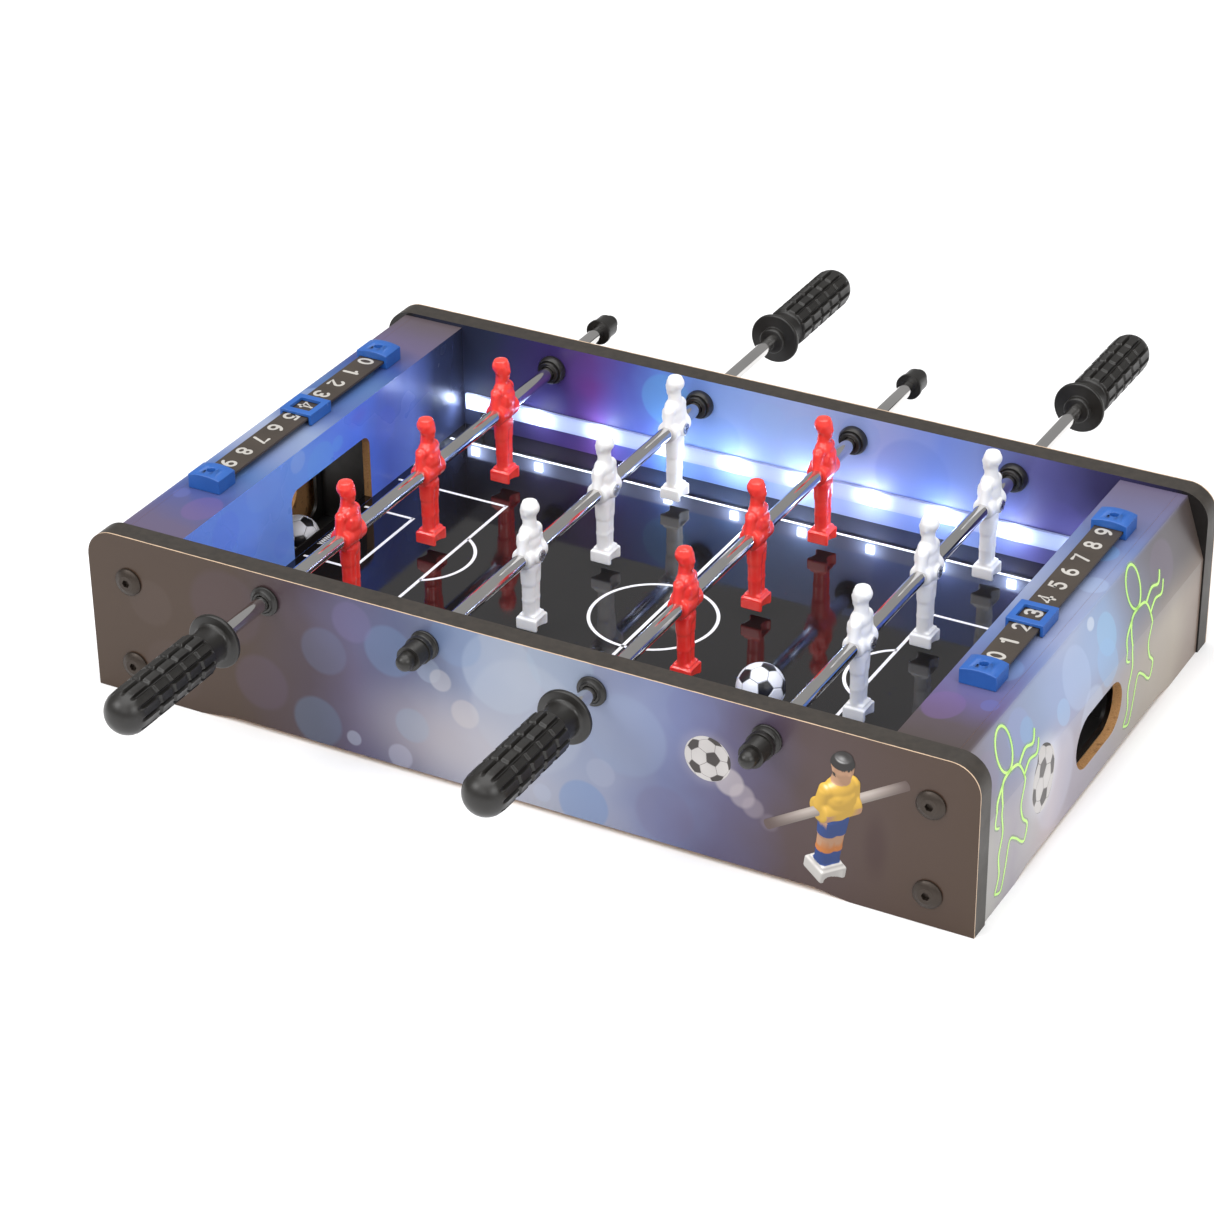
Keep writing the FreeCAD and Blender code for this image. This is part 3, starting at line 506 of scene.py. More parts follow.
def dark_edge():
    """Dark laminate on the wall tops, with a thin line of raw board along the outer edge."""
    m = Mat("dark_laminate")
    y, z = m.xyz()[1], m.xyz()[2]
    grain = m.noise(220, 5, 0.6)
    dark = m.mix(m.remap(grain, 0.35, 0.65), srgb(42, 37, 32), srgb(52, 46, 40))
    out = m.math("ABSOLUTE", m.math("SUBTRACT", y, YC))
    jag = m.math("MULTIPLY", m.math("SUBTRACT", m.noise(160, 4, 0.7), 0.5), 0.0009)
    edge = m.remap(m.math("ADD", out, jag), 0.15715, 0.15745)
    m.color(m.mix(edge, dark, srgb(206, 178, 150)))
    m.rough(m.remap(m.noise(30, 4), 0.3, 0.7, 0.42, 0.58))
    m.bump(grain, 0.12, 0.00008)
    return m


def raw_board():
    m = Mat("raw_fibreboard")
    fine = m.noise(1400, 6, 0.75)
    spots = m.noise(160, 4, 0.6)
    c = m.mix(m.remap(fine, 0.3, 0.7), srgb(150, 106, 62), srgb(196, 150, 98))
    c = m.mix(m.remap(spots, 0.58, 0.72), c, srgb(116, 78, 44))
    m.color(c).rough(0.86)
    m.bump(fine, 0.5, 0.00035)
    return m


def plastic(name, col, col2, rough, scale=1600, bump=0.12, **extra):
    m = Mat(name, **extra)
    n = m.noise(scale, 3, 0.6)
    m.color(m.mix(m.remap(m.noise(40, 3), 0.3, 0.7), col, col2))
    m.rough(m.remap(m.noise(120, 4, 0.6), 0.3, 0.7, rough - 0.05, rough + 0.07))
    m.bump(n, bump, 0.00005)
    return m


def metal(name, col, rough, streak=(1, 1, 1), extra=0.05):
    m = Mat(name, Metallic=1.0)
    v = m.vmath("MULTIPLY", m.coords(), streak)
    n = m.noise(700, 4, 0.6, vec=v)
    m.color(m.mix(m.remap(m.noise(25, 3), 0.3, 0.7), col, tuple(min(1, c * 1.12) for c in col[:3]) + (1,)))
    m.rough(m.remap(n, 0.3, 0.7, rough, rough + extra))
    m.bump(n, 0.05, 0.00003)
    return m


ART_FRONT = front_art("front_print")
ART_BACK = front_art("back_print", trail=False)
ART_INNER = front_art("inner_print", deep=True)
ART_ENDS = {"left": end_art("end_print_left", "left"), "right": end_art("end_print_right", "right")}
ART_GOAL = goal_art("goal_print")
EDGE = dark_edge()
RAW = raw_board()
BLACK = plastic("black_satin_plastic", srgb(23, 21, 19), srgb(29, 27, 24), 0.36, Specular_IOR_Level=0.5)
TRAY = plastic("tray_black", srgb(26, 25, 25), srgb(34, 33, 32), 0.42)
BLUE = plastic("counter_blue", srgb(34, 84, 158), srgb(42, 96, 174), 0.38, Subsurface_Weight=0.05,
               Subsurface_Radius=(0.0006, 0.0009, 0.002), Subsurface_Scale=1.0)
STRIP = plastic("strip_brown", srgb(54, 46, 39), srgb(64, 55, 47), 0.5, scale=500, bump=0.2)
DIGIT = plastic("numeral_print", srgb(172, 168, 162), srgb(186, 182, 176), 0.5)
CHROME = metal("rod_chrome", srgb(214, 212, 210), 0.05, (1, 0.02, 1), 0.05)
STEEL = metal("bright_screw", srgb(196, 196, 200), 0.2, (1, 1, 1), 0.12)
BOLT = metal("black_oxide_bolt", srgb(58, 50, 44), 0.34, (1, 1, 1), 0.14)
BOLT.set(Metallic=0.6)
NICKEL = metal("contact_nickel", srgb(190, 186, 178), 0.28)
CELL = plastic("cell_wrap", srgb(40, 46, 52), srgb(48, 54, 62), 0.3)
WIRE = plastic("wire_black", srgb(18, 18, 18), srgb(26, 26, 26), 0.5)

# mirror-gloss field: black lacquer with specks of dust and a slight pull in the coat
FIELD = Mat("field_gloss", Specular_IOR_Level=0.75)
dust = FIELD.noise(2600, 2, 0.5)
smear = FIELD.noise(26, 5, 0.65)
speck = FIELD.remap(dust, 0.74, 0.80)
FIELD.color(FIELD.mix(FIELD.math("MULTIPLY", speck, 0.25), srgb(22, 20, 21), srgb(120, 118, 124)))
FIELD.rough(FIELD.remap(smear, 0.35, 0.7, 0.035, 0.10))
FIELD.bump(FIELD.noise(55, 2), 0.06, 0.0002)

LINE = plastic("line_print", srgb(232, 232, 238), srgb(244, 244, 248), 0.3)

RED = Mat("red_player", Specular_IOR_Level=0.6, Coat_Weight=0.35, Coat_Roughness=0.08, Coat_IOR=1.5,
          Subsurface_Weight=0.18, Subsurface_Scale=1.0, Subsurface_Radius=(0.004, 0.0008, 0.0005))
RED.color(RED.mix(RED.remap(RED.noise(120, 3), 0.3, 0.7), srgb(240, 50, 44), srgb(250, 70, 58)))
RED.rough(RED.remap(RED.noise(260, 3), 0.3, 0.7, 0.16, 0.26))
RED.bump(RED.noise(420, 3), 0.10, 0.00012)

PALE = Mat("white_player", Specular_IOR_Level=0.5, Subsurface_Weight=0.35, Subsurface_Scale=1.0,
           Subsurface_Radius=(0.004, 0.0038, 0.0034))
PALE.color(PALE.mix(PALE.remap(PALE.noise(110, 3), 0.3, 0.7), srgb(240, 240, 239), srgb(248, 248, 247)))
PALE.rough(PALE.remap(PALE.noise(260, 3), 0.3, 0.7, 0.30, 0.42))
PALE.bump(PALE.noise(420, 3), 0.10, 0.00010)

BALL_W = plastic("ball_white", srgb(226, 230, 240), srgb(238, 240, 246), 0.32, scale=900)
BALL_K = plastic("ball_black", srgb(24, 24, 28), srgb(34, 34, 38), 0.34, scale=900)
SEAM = plastic("ball_seam", srgb(150, 152, 160), srgb(168, 170, 176), 0.5)

GLOW = Mat("strip_glow", Roughness=0.4, Emission_Strength=1.0)
gx, gz = GLOW.xyz()[0], GLOW.xyz()[2]
cell = GLOW.math("FRACT", GLOW.math("DIVIDE", GLOW.math("ADD", gx, 0.0035 + 0.043 * 10), 0.043))
dist = GLOW.math("MULTIPLY", GLOW.math("ABSOLUTE", GLOW.math("SUBTRACT", cell, 0.5)), 0.043)
near = GLOW.math("POWER", GLOW.remap(dist, 0.0, 0.016, 1.0, 0.0), 2.0)
fade = GLOW.remap(GLOW.math("ABSOLUTE", GLOW.math("SUBTRACT", gz, 0.0475)), 0.002, 0.005, 1.0, 0.35, "SMOOTHSTEP")
GLOW.color(srgb(150, 160, 200))
level = GLOW.math("MULTIPLY", fade, GLOW.math("MULTIPLY_ADD", near, 3.4, 0.15))
GLOW.feed(GLOW.b.inputs["Emission Strength"], level)
GLOW.feed(GLOW.b.inputs["Emission Color"], GLOW.mix(near, srgb(176, 192, 240), srgb(222, 236, 255)))
LAMP = Mat("lamp_lit", Roughness=0.3, Emission_Strength=28.0)
LAMP.color(WHITE)
LAMP.b.inputs["Emission Color"].default_value = srgb(214, 230, 255)

# ------------------------------------------------------------------ CAD nodes: finishes by face
for node, sgn in (("front_wall", -1), ("back_wall", 1)):
    assign(node, EDGE,
           (ART_FRONT if sgn < 0 else ART_BACK, lambda c, n, s=sgn: (n[:, 1] * s > 0.9)),
           (ART_INNER, lambda c, n, s=sgn: (n[:, 1] * s < -0.9)),
           (RAW, lambda c, n: n[:, 2] < -0.5))
for side in ("left", "right"):
    s = -1 if side == "left" else 1
    assign(side + "_goal_panel", RAW,
           (ART_GOAL, lambda c, n, s=s: (n[:, 0] * s < -0.9)),
           (FIELD, lambda c, n: (n[:, 2] > 0.9) & (c[:, 2] < 0.034)))
    ART_END = ART_ENDS[side]
    assign(side + "_end_top", RAW, (ART_END, lambda c, n: n[:, 2] > 0.9),
           (ART_GOAL, lambda c, n, s=s: (n[:, 0] * s < -0.9)))
    assign(side + "_end_panel", RAW,
           (ART_END, lambda c, n, s=s: (n[:, 0] * s > 0.2) & (np.abs(n[:, 1]) < 0.3)),
           (ART_END, lambda c, n: (n[:, 2] > 0.9) & (c[:, 2] > 0.09)))
    assign(side + "_ball_tray", TRAY)
    assign(side + "_score_slider", BLUE)
    soften(side + "_score_slider", 0.5, 3)
assign("playfield", RAW, (FIELD, lambda c, n: n[:, 2] > 0.9))
assign("field_rails", RAW)
assign("corner_blocks", RAW)
assign("corner_bolts", BOLT)
for n in ("rod_bushings", "bushing_nuts"):
    assign(n, BLACK)
    soften(n, 0.7, 3)
assign("score_strips", STRIP)
soften("score_strips", 0.25, 2)
assign("score_end_blocks", BLUE)
soften("score_end_blocks", 0.5, 3)
assign("score_screws", BLUE)
assign("led_strip", GLOW)
assign("led_lamps", LAMP)
assign("battery_box", BLACK)
soften("battery_box", 0.6, 2)
assign("battery_cover", BLACK)
soften("battery_cover", 0.5, 2)
assign("batteries", CELL)
assign("battery_contacts", NICKEL)
assign("switch_body", BLACK)
assign("switch_knob", BLACK)
assign("led_wire", WIRE)
soften("corner_bolts", 0.25, 2, 25)
for k in "1234":
    assign("rod_" + k, CHROME)
    assign("end_cap_" + k, BLACK)
    soften("end_cap_" + k, 0.5, 3)
    assign("player_screws_" + k, STEEL)

# ------------------------------------------------------------------ players
def blob(bm, c, r, seg=20):
    m = Matrix.Translation(Vector(c) * MM) @ Matrix.Diagonal((r[0] * MM, r[1] * MM, r[2] * MM, 1))
    bmesh.ops.create_uvsphere(bm, u_segments=seg, v_segments=seg // 2 + 2, radius=1.0, matrix=m)


def limb(bm, a, b, ra, rb, squash_x=1.0, seg=20):
    """Tapered round bar from a to b (mm)."""
    A, B = Vector(a), Vector(b)
    d = B - A
    q = d.to_track_quat("Z", "Y").to_matrix().to_4x4()
    m = Matrix.Translation((A + B) / 2 * MM) @ q
    bmesh.ops.create_cone(bm, cap_ends=True, segments=seg, radius1=ra * MM, radius2=rb * MM,
                          depth=d.length * MM, matrix=m)


def brick(bm, lo, hi, top=1.0):
    lo, hi = Vector(lo), Vector(hi)
    c, s = (lo + hi) / 2, hi - lo
    r = bmesh.ops.create_cube(bm, size=1.0, matrix=Matrix.Translation(c * MM) @ Matrix.Diagonal(
        (s.x * MM, s.y * MM, s.z * MM, 1)))
    return r["verts"]


def player_mesh():
    bm = bmesh.new()
    # head: skull, cropped hair, plain jaw, small nose and ears
    blob(bm, (0.4, 0, 24.8), (4.7, 4.3, 5.6), 24)
    blob(bm, (-0.6, 0, 27.2), (5.2, 5.0, 4.7), 24)
    limb(bm, (-0.5, 0, 27.0), (-0.5, 0, 31.2), 4.9, 3.9, seg=28)
    blob(bm, (1.5, 0, 21.4), (3.3, 3.1, 2.9))
    blob(bm, (5.0, 0, 24.6), (0.9, 0.7, 1.2), 12)
    for s in (-1, 1):
        blob(bm, (-0.3, 4.4 * s, 24.8), (1.1, 0.7, 1.5), 12)
    limb(bm, (-0.4, 0, 11), (0, 0, 23), 4.3, 3.5)
    # sloping shoulders, chest and back
    blob(bm, (0.2, 0, 12.2), (5.2, 7.4, 6.0), 24)
    blob(bm, (0.7, 0, 7.0), (6.3, 7.6, 7.6), 24)
    blob(bm, (0.3, 0, 1.5), (6.6, 7.0, 8.2), 24)
    blob(bm, (2.4, 2.7, 9.6), (3.8, 3.4, 3.4))
    blob(bm, (2.4, -2.7, 9.6), (3.8, 3.4, 3.4))
    # arms hang beside the body and run into the sleeve round the rod
    for s in (-1, 1):
        blob(bm, (-0.2, 6.6 * s, 12.4), (3.6, 2.7, 3.6))
        limb(bm, (-0.2, 7.0 * s, 12.6), (-0.3, 8.1 * s, 3.0), 2.9, 3.0)
        limb(bm, (-0.3, 8.1 * s, 3.4), (1.0, 8.0 * s, -4.0), 3.0, 2.3)
        blob(bm, (1.4, 7.7 * s, -4.6), (2.3, 1.7, 2.4), 14)
    limb(bm, (0, -8.9, 0), (0, 8.9, 0), 6.2, 6.2, seg=40)
    limb(bm, (0, -9.5, 0), (0, 9.5, 0), 5.4, 5.4, seg=40)
    limb(bm, (-7.3, 0, 0), (0, 0, 0), 4.2, 5.0, seg=32)
    # shorts, then the two legs cast side by side with hem and sock lines
    blob(bm, (0, 0, -8.0), (5.0, 6.6, 6.4), 24)
    for s in (-1, 1):
        limb(bm, (0, 2.3 * s, -17.5), (0, 2.4 * s, -7.0), 4.15, 4.5)
        limb(bm, (0.2, 2.1 * s, -37.0), (0, 2.2 * s, -16.0), 3.55, 3.85)
        limb(bm, (0.1, 2.1 * s, -27.6), (0.1, 2.1 * s, -26.2), 3.95, 3.95)
    # foot block, sloped on top, hollowed front and back
    brick(bm, (-6.2, -6.5, -44.4), (6.2, 6.5, -37.4))
    brick(bm, (-4.9, -5.4, -38.2), (4.9, 5.4, -35.6))
    me = from_bm(bm, "player")
    tmp = bpy.data.objects.new("player_tmp", me)
    coll.objects.link(tmp)
    bpy.context.view_layer.objects.active = tmp
    tmp.select_set(True)
    r = tmp.modifiers.new("r", "REMESH")
    r.mode = "VOXEL"
    r.voxel_size = 0.42 * MM
    bpy.ops.object.modifier_apply(modifier="r")
    s = tmp.modifiers.new("s", "SMOOTH")
    s.factor = 0.5
    s.iterations = 7
    bpy.ops.object.modifier_apply(modifier="s")

    # cutters: hollows in the foot, screw well
    cb = bmesh.new()
    for s in (-1, 1):
        bmesh.ops.create_cone(cb, cap_ends=True, segments=48, radius1=6.2 * MM, radius2=6.2 * MM, depth=8.2 * MM,
                              matrix=Matrix.Translation((s * 10.0 * MM, 0, -42.4 * MM)))
    bmesh.ops.create_cone(cb, cap_ends=True, segments=36, radius1=3.25 * MM, radius2=3.25 * MM, depth=5 * MM,
                          matrix=Matrix.Translation((-8.4 * MM, 0, 0)) @ Matrix.Rotation(math.pi / 2, 4, "Y"))
    cm = from_bm(cb, "cut")
    co = bpy.data.objects.new("cut_tmp", cm)
    coll.objects.link(co)
    b = tmp.modifiers.new("b", "BOOLEAN")
    b.operation = "DIFFERENCE"
    b.object = co
    b.solver = "EXACT"
    bpy.ops.object.modifier_apply(modifier="b")
    r = tmp.modifiers.new("r", "REMESH")
    r.mode = "VOXEL"
    r.voxel_size = 0.40 * MM
    bpy.ops.object.modifier_apply(modifier="r")
    s = tmp.modifiers.new("s", "SMOOTH")
    s.factor = 0.5
    s.iterations = 2
    bpy.ops.object.modifier_apply(modifier="s")
    d = tmp.modifiers.new("d", "DECIMATE")
    d.ratio = 0.45
    bpy.ops.object.modifier_apply(modifier="d")
    me = tmp.data
    bpy.data.objects.remove(co)
    bpy.data.objects.remove(tmp)
    for p in me.polygons:
        p.use_smooth = True
    me.name = "player"
    return me


PLAYER = player_mesh()
red_me, pale_me = PLAYER, PLAYER.copy()
red_me.materials.clear(); red_me.materials.append(RED.m)
pale_me.materials.clear(); pale_me.materials.append(PALE.m)
TURN = Matrix.Rotation(math.pi, 4, "Z")
for num, colour in (("1", "red"), ("2", "white"), ("3", "red"), ("4", "white")):
    for k in "abc":
        node = "%s_player_%s%s" % (colour, num, k)
        lo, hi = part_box(node)
        c = (lo + hi) / 2
        mesh_object("look_" + node, red_me if colour == "red" else pale_me, None, "rod_%s_turn" % num,
                    [node], (c.x, c.y, 0.081), Matrix.Identity(4) if colour == "red" else TURN)


# ------------------------------------------------------------------ handles
def groove_depth(y, a):
    """y is the distance from the middle player along the rod, as in the CAD; five rows of twelve flat-topped pads."""
    if y > -225.2 or y < -289.5:
        return 0.0
    k = (a / (2 * math.pi) * 12.0) % 1.0
    d = abs(k - 0.5) * 2.0
    lon = min(1.0, max(0.0, (d - 0.58) / 0.34))
    lon = lon * lon * (3 - 2 * lon)
    row = ((y + 285.6) / 12.1) % 1.0
    e = min(row, 1.0 - row) * 12.1
    cross = min(1.0, max(0.0, (1.75 - e) / 1.0)) if -284.0 < y < -227.0 else 0.0
    cross = cross * cross * (3 - 2 * cross)
    edge = min(1.0, (-225.2 - y) / 0.9, (y + 289.5) / 4.5)
    # a flat pad: the round is taken down to the chord between two grooves
    flat = 0.26 * (1.0 - (d / 0.58) ** 2) if d < 0.58 else 0.0
    return (max(lon * 1.9, cross * 1.15) + flat) * max(0.0, edge)


rings = [(-204.0, 4.2), (-204.0, 7.0), (-204.4, 7.5), (-207.6, 7.6), (-208.0, 8.2), (-208.1, 14.2), (-208.4, 14.8),
         (-208.9, 15.0), (-210.1, 15.0), (-210.6, 14.8), (-210.9, 14.2), (-211.2, 11.6), (-211.8, 10.4), (-212.8, 9.9)]
rings += [(-213.6 - 1.2 * i, 9.75 - 0.22 * math.sin(math.pi * i / 8)) for i in range(9)]
rings += [(-224.3, 9.9), (-224.8, 10.5), (-225.0, 11.3), (-225.4, 11.8)]
y = -225.8
while y > -285.0:
    rings.append((y, 12.1))
    y -= 0.30
rings += [(-285.0 - 11.9 * math.sin(math.radians(t)), 12.05 * math.cos(math.radians(t)) ** 0.92) for t in range(1, 90, 3)]
rings.append((-296.9, 0.3))
HANDLE = lathe(rings, 240, "handle", groove_depth)
for p in HANDLE.polygons:
    p.use_smooth = True
smooth(HANDLE, 50)
HANDLE.materials.append(BLACK.m)
REST = {"1": (-0.1443, 0.005, False), "2": (-0.0481, 0.031, True), "3": (0.0481, 0.0235, False), "4": (0.1443, 0.0295, True)}
for num, (x, rest, back) in REST.items():
    lo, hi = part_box("handle_" + num)
    mid = (hi.y + 0.204) if not back else (lo.y - 0.204)
    mesh_object("look_handle_" + num, HANDLE, None, "rod_%s_turn" % num, ["handle_" + num],
                (x, mid, 0.081), TURN if back else Matrix.Identity(4))


# ------------------------------------------------------------------ balls
def ball_mesh(radius):
    """Twelve dark five-sided patches and twenty pale six-sided ones, with sunk seams."""
    phi = (1 + 5 ** 0.5) / 2
    pts = set()
    for a, b, c in ((0, 1, 3 * phi), (1, 2 + phi, 2 * phi), (phi, 2, 2 * phi + 1)):
        for s1 in (-1, 1):
            for s2 in (-1, 1):
                for s3 in (-1, 1):
                    p = (a * s1, b * s2, c * s3)
                    for q in (p, (p[1], p[2], p[0]), (p[2], p[0], p[1])):
                        pts.add(tuple(round(v, 6) + 0.0 for v in q))
    bm = bmesh.new()
    for p in sorted(pts):
        bm.verts.new(Vector(p).normalized())
    bmesh.ops.convex_hull(bm, input=bm.verts)
    bmesh.ops.dissolve_limit(bm, angle_limit=math.radians(1.0), verts=bm.verts, edges=bm.edges)
    for f in bm.faces:
        f.material_index = 1 if len(f.verts) == 5 else 0
    bmesh.ops.recalc_face_normals(bm, faces=bm.faces)
    panels = list(bm.faces)
    r = bmesh.ops.inset_individual(bm, faces=panels, thickness=0.014, use_even_offset=True)
    for f in r["faces"]:
        f.material_index = 2
    for f in panels:
        f.tag = True
    poke = bmesh.ops.poke(bm, faces=panels)
    for _ in range(3):
        bmesh.ops.subdivide_edges(bm, edges=bm.edges, cuts=1, use_grid_fill=True)
    for v in bm.verts:
        seam = all(f.material_index == 2 for f in v.link_faces)
        v.co = v.co.normalized() * (radius * (0.984 if seam else 1.0))
    for f in bm.faces:
        f.smooth = True
    return from_bm(bm, "ball")


for node, spin in (("field_ball", (0.35, 0.5, 0.3)), ("goal_ball", (0.9, 0.2, 1.1))):
    me = ball_mesh(0.013)
    for m in (BALL_W, BALL_K, SEAM):
        me.materials.append(m.m)
    lo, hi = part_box(node)
    c = (lo + hi) / 2
    rot = Matrix.Rotation(spin[0], 4, "X") @ Matrix.Rotation(spin[1], 4, "Y") @ Matrix.Rotation(spin[2], 4, "Z")
    mesh_object("look_" + node, me, None, node, [node], c, rot)

# ------------------------------------------------------------------ printed field lines
flo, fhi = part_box("playfield")
ZF = fhi.z


def on_field(u, v, lift):
    return Vector((u * MM, YC + v * MM, ZF + lift * MM * 0.6))


LW = 1.9
OFF = -3.0
parts = []
for s in (-1, 1):
    parts.append(ribbon("l", [(-203, s * 125.7 + OFF / 2), (203, s * 125.7 + OFF / 2)], LW, on_field))
    px = s * 131.5
    parts.append(ribbon("l", [(s * 203, 69 + OFF), (px, 69 + OFF)], LW, on_field))
    parts.append(ribbon("l", [(s * 203, -69 + OFF), (px, -69 + OFF)], LW, on_field))
    parts.append(ribbon("l", [(px, 69 + LW / 2 + OFF), (px, -69 - LW / 2 + OFF)], LW, on_field))
    gx = s * 171
    parts.append(ribbon("l", [(s * 203, 32 + OFF), (gx, 32 + OFF)], LW, on_field))
    parts.append(ribbon("l", [(s * 203, -32 + OFF), (gx, -32 + OFF)], LW, on_field))
    parts.append(ribbon("l", [(gx, 32 + LW / 2 + OFF), (gx, -32 - LW / 2 + OFF)], LW, on_field))
    a = math.degrees(math.asin(26.3 / 30.3))
    cx = px + s * 15.0
    pts = arc(cx, OFF, 30.3, -a, a) if s < 0 else arc(cx, OFF, 30.3, 180 - a, 180 + a)
    parts.append(ribbon("l", pts, LW, on_field))
    # goal net print: a fine crossed hatch just outside the goal line
    parts.append(ribbon("l", [(s * 197.4, -17 + OFF), (s * 197.4, 17 + OFF)], 0.8, on_field))
    for i in range(18):
        v0 = -17 + i * 1.9 + OFF
        parts.append(ribbon("l", [(s * 197.6, v0), (s * 203.8, v0 + 1.9)], 0.45, on_field))
        parts.append(ribbon("l", [(s * 197.6, v0 + 1.9), (s * 203.8, v0)], 0.45, on_field, 0.13))
parts.append(ribbon("l", [(0.8, 125.7 + OFF / 2), (0.8, -125.7 + OFF / 2)], LW, on_field))
parts.append(ribbon("l", arc(0.8, OFF - 2, 35, 0, 360, 96)[:-1], LW, on_field, closed=True))
mesh_object("field_lines", join(parts, "field_lines"), LINE, "table")

# ------------------------------------------------------------------ numerals on the counters
def oval(cx, cy, rx, ry, a0, a1, n=22):
    return [(cx + rx * math.cos(math.radians(a0 + (a1 - a0) * i / n)),
             cy + ry * math.sin(math.radians(a0 + (a1 - a0) * i / n))) for i in range(n + 1)]


six = [oval(2.5, 2.25, 1.85, 1.75, 0, 360), oval(3.55, 2.4, 2.9, 4.0, 178, 98)]
GLYPH = {
    "0": [oval(2.5, 3.5, 1.9, 3.0, 0, 360)],
    "1": [[(1.3, 5.3), (2.9, 6.5), (2.9, 0.5)]],
    "2": [oval(2.45, 4.75, 1.85, 1.75, 165, -30) + [(0.75, 0.6), (4.4, 0.6)]],
    "3": [oval(2.35, 4.95, 1.65, 1.55, 155, -90), oval(2.35, 2.15, 1.95, 1.65, 90, -155)],
    "4": [[(3.5, 0.5), (3.5, 6.4), (0.5, 2.1), (4.7, 2.1)]],
    "5": [[(4.1, 6.4), (1.25, 6.4), (0.95, 3.7)] + oval(2.4, 2.45, 1.95, 1.95, 125, -150)],
    "6": six,
    "7": [[(0.6, 6.4), (4.4, 6.4), (2.0, 0.5)]],
    "8": [oval(2.5, 5.0, 1.5, 1.45, 0, 360), oval(2.5, 2.05, 1.85, 1.55, 0, 360)],
    "9": [[(5 - a, 7 - b) for a, b in line] for line in six],
}


def numeral(ch, x, y, z, side):
    """Numeral lying on a counter strip; its top points to the field, so it is read from the end of the table."""
    def put(u, v, lift):
        u, v = (u - 2.5) * 1.38, (v - 3.5) * 1.38
        return Vector((x - side * v * MM, y + side * u * MM, z + lift * MM * 0.7))
    out = []
    width = 1.5 if ch == "1" else 1.28
    for k, line in enumerate(GLYPH[ch]):
        lift = 0.10 + 0.012 * k
        loop = len(line) > 8 and math.dist(line[0], line[-1]) < 1e-6
        out.append(ribbon("n", line[:-1] if loop else line, width, put, lift, closed=loop))
        if not loop:
            for j, q in enumerate(line if len(line) < 8 else (line[0], line[-1])):
                out.append(slab("n", arc(q[0], q[1], width / 2, 0, 330, 11), put, lift + 0.004 + 0.002 * j))
    return out


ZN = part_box("score_strips")[1].z
for side, s, xc, yc, pitch in (("left", -1, -0.2263, 2.8, 15.6), ("right", 1, 0.2222, 7.7, 15.7)):
    digits = []
    for i in range(10):
        digits += numeral(str(i), xc, YC + (yc + s * (-4.5 + i) * pitch) * MM, ZN, s)
    mesh_object(side + "_numerals", join(digits, side + "_numerals"), DIGIT, "table")

# ------------------------------------------------------------------ printed pictures: plain ball, plain table player, light trails
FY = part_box("front_wall")[0].y


def on_front(u, v, lift):
    return Vector((u * MM, FY - lift * MM, v * MM))


def on_side(u, v, lift):
    """Right end: v below 58 is the upright board, above it the bevel. u is Y in the row frame."""
    if v <= 58:
        return Vector((0.255 + lift * MM, u * MM, v * MM))
    t = (v - 58) / 36.0
    return Vector((0.255 - 0.0115 * t + lift * MM * 0.95, u * MM, v * MM + lift * MM * 0.3))


def flat_paint(name, col, col2, alpha=1.0):
    m = plastic(name, col, col2, 0.34)
    m.set(Alpha=alpha)
    return m


P_WHITE = flat_paint("print_white", srgb(178, 174, 172), srgb(194, 190, 188))
P_DARK = flat_paint("print_dark", srgb(48, 42, 40), srgb(60, 53, 50))
P_GREY = flat_paint("print_grey", srgb(112, 106, 106), srgb(132, 126, 124))
GREEN_PRINT_AND_PAINTED_GLOW = flat_paint("print_green_with_painted_glow", srgb(162, 208, 96), srgb(188, 226, 120))
# the green print lines get a faint green emission: painted glow, since the printed ink gives off no light of its own
GREEN_PRINT_AND_PAINTED_GLOW.set(Emission_Strength=0.12)
GREEN_PRINT_AND_PAINTED_GLOW.b.inputs["Emission Color"].default_value = srgb(150, 230, 96)


def flat_ball(name, u, v, ru, rv, put, tilt):
    """Ball printed flat: the near half of the patched ball pressed on to the surface."""
    me = ball_mesh(1.0)
    me.transform(Matrix.Rotation(tilt[0], 4, "X") @ Matrix.Rotation(tilt[1], 4, "Y") @ Matrix.Rotation(tilt[2], 4, "Z"))
    bm = bmesh.new()
    bm.from_mesh(me)
    bmesh.ops.bisect_plane(bm, geom=bm.verts[:] + bm.edges[:] + bm.faces[:], plane_co=(0, 0, 0.02),
                           plane_no=(0, 0, -1), clear_outer=True)
    for q in bm.verts:
        h = max(0.0, q.co.z)
        q.co = put(u + q.co.x * ru, v + q.co.y * rv, 0.05 + 0.06 * h)
    for f in bm.faces:
        f.smooth = False
    me2 = from_bm(bm, name)
    for k in (P_WHITE, P_DARK, P_GREY):
        me2.materials.append(k.m)
    return mesh_object(name, me2, None, "table")


flat_ball("front_print_ball", 112, 60, 12.7, 12.7, on_front, (0.5, 0.4, 0.2))
flat_ball("side_print_ball", -93, 44, 14.0, 19.0, on_side, (1.1, 0.5, 0.7))



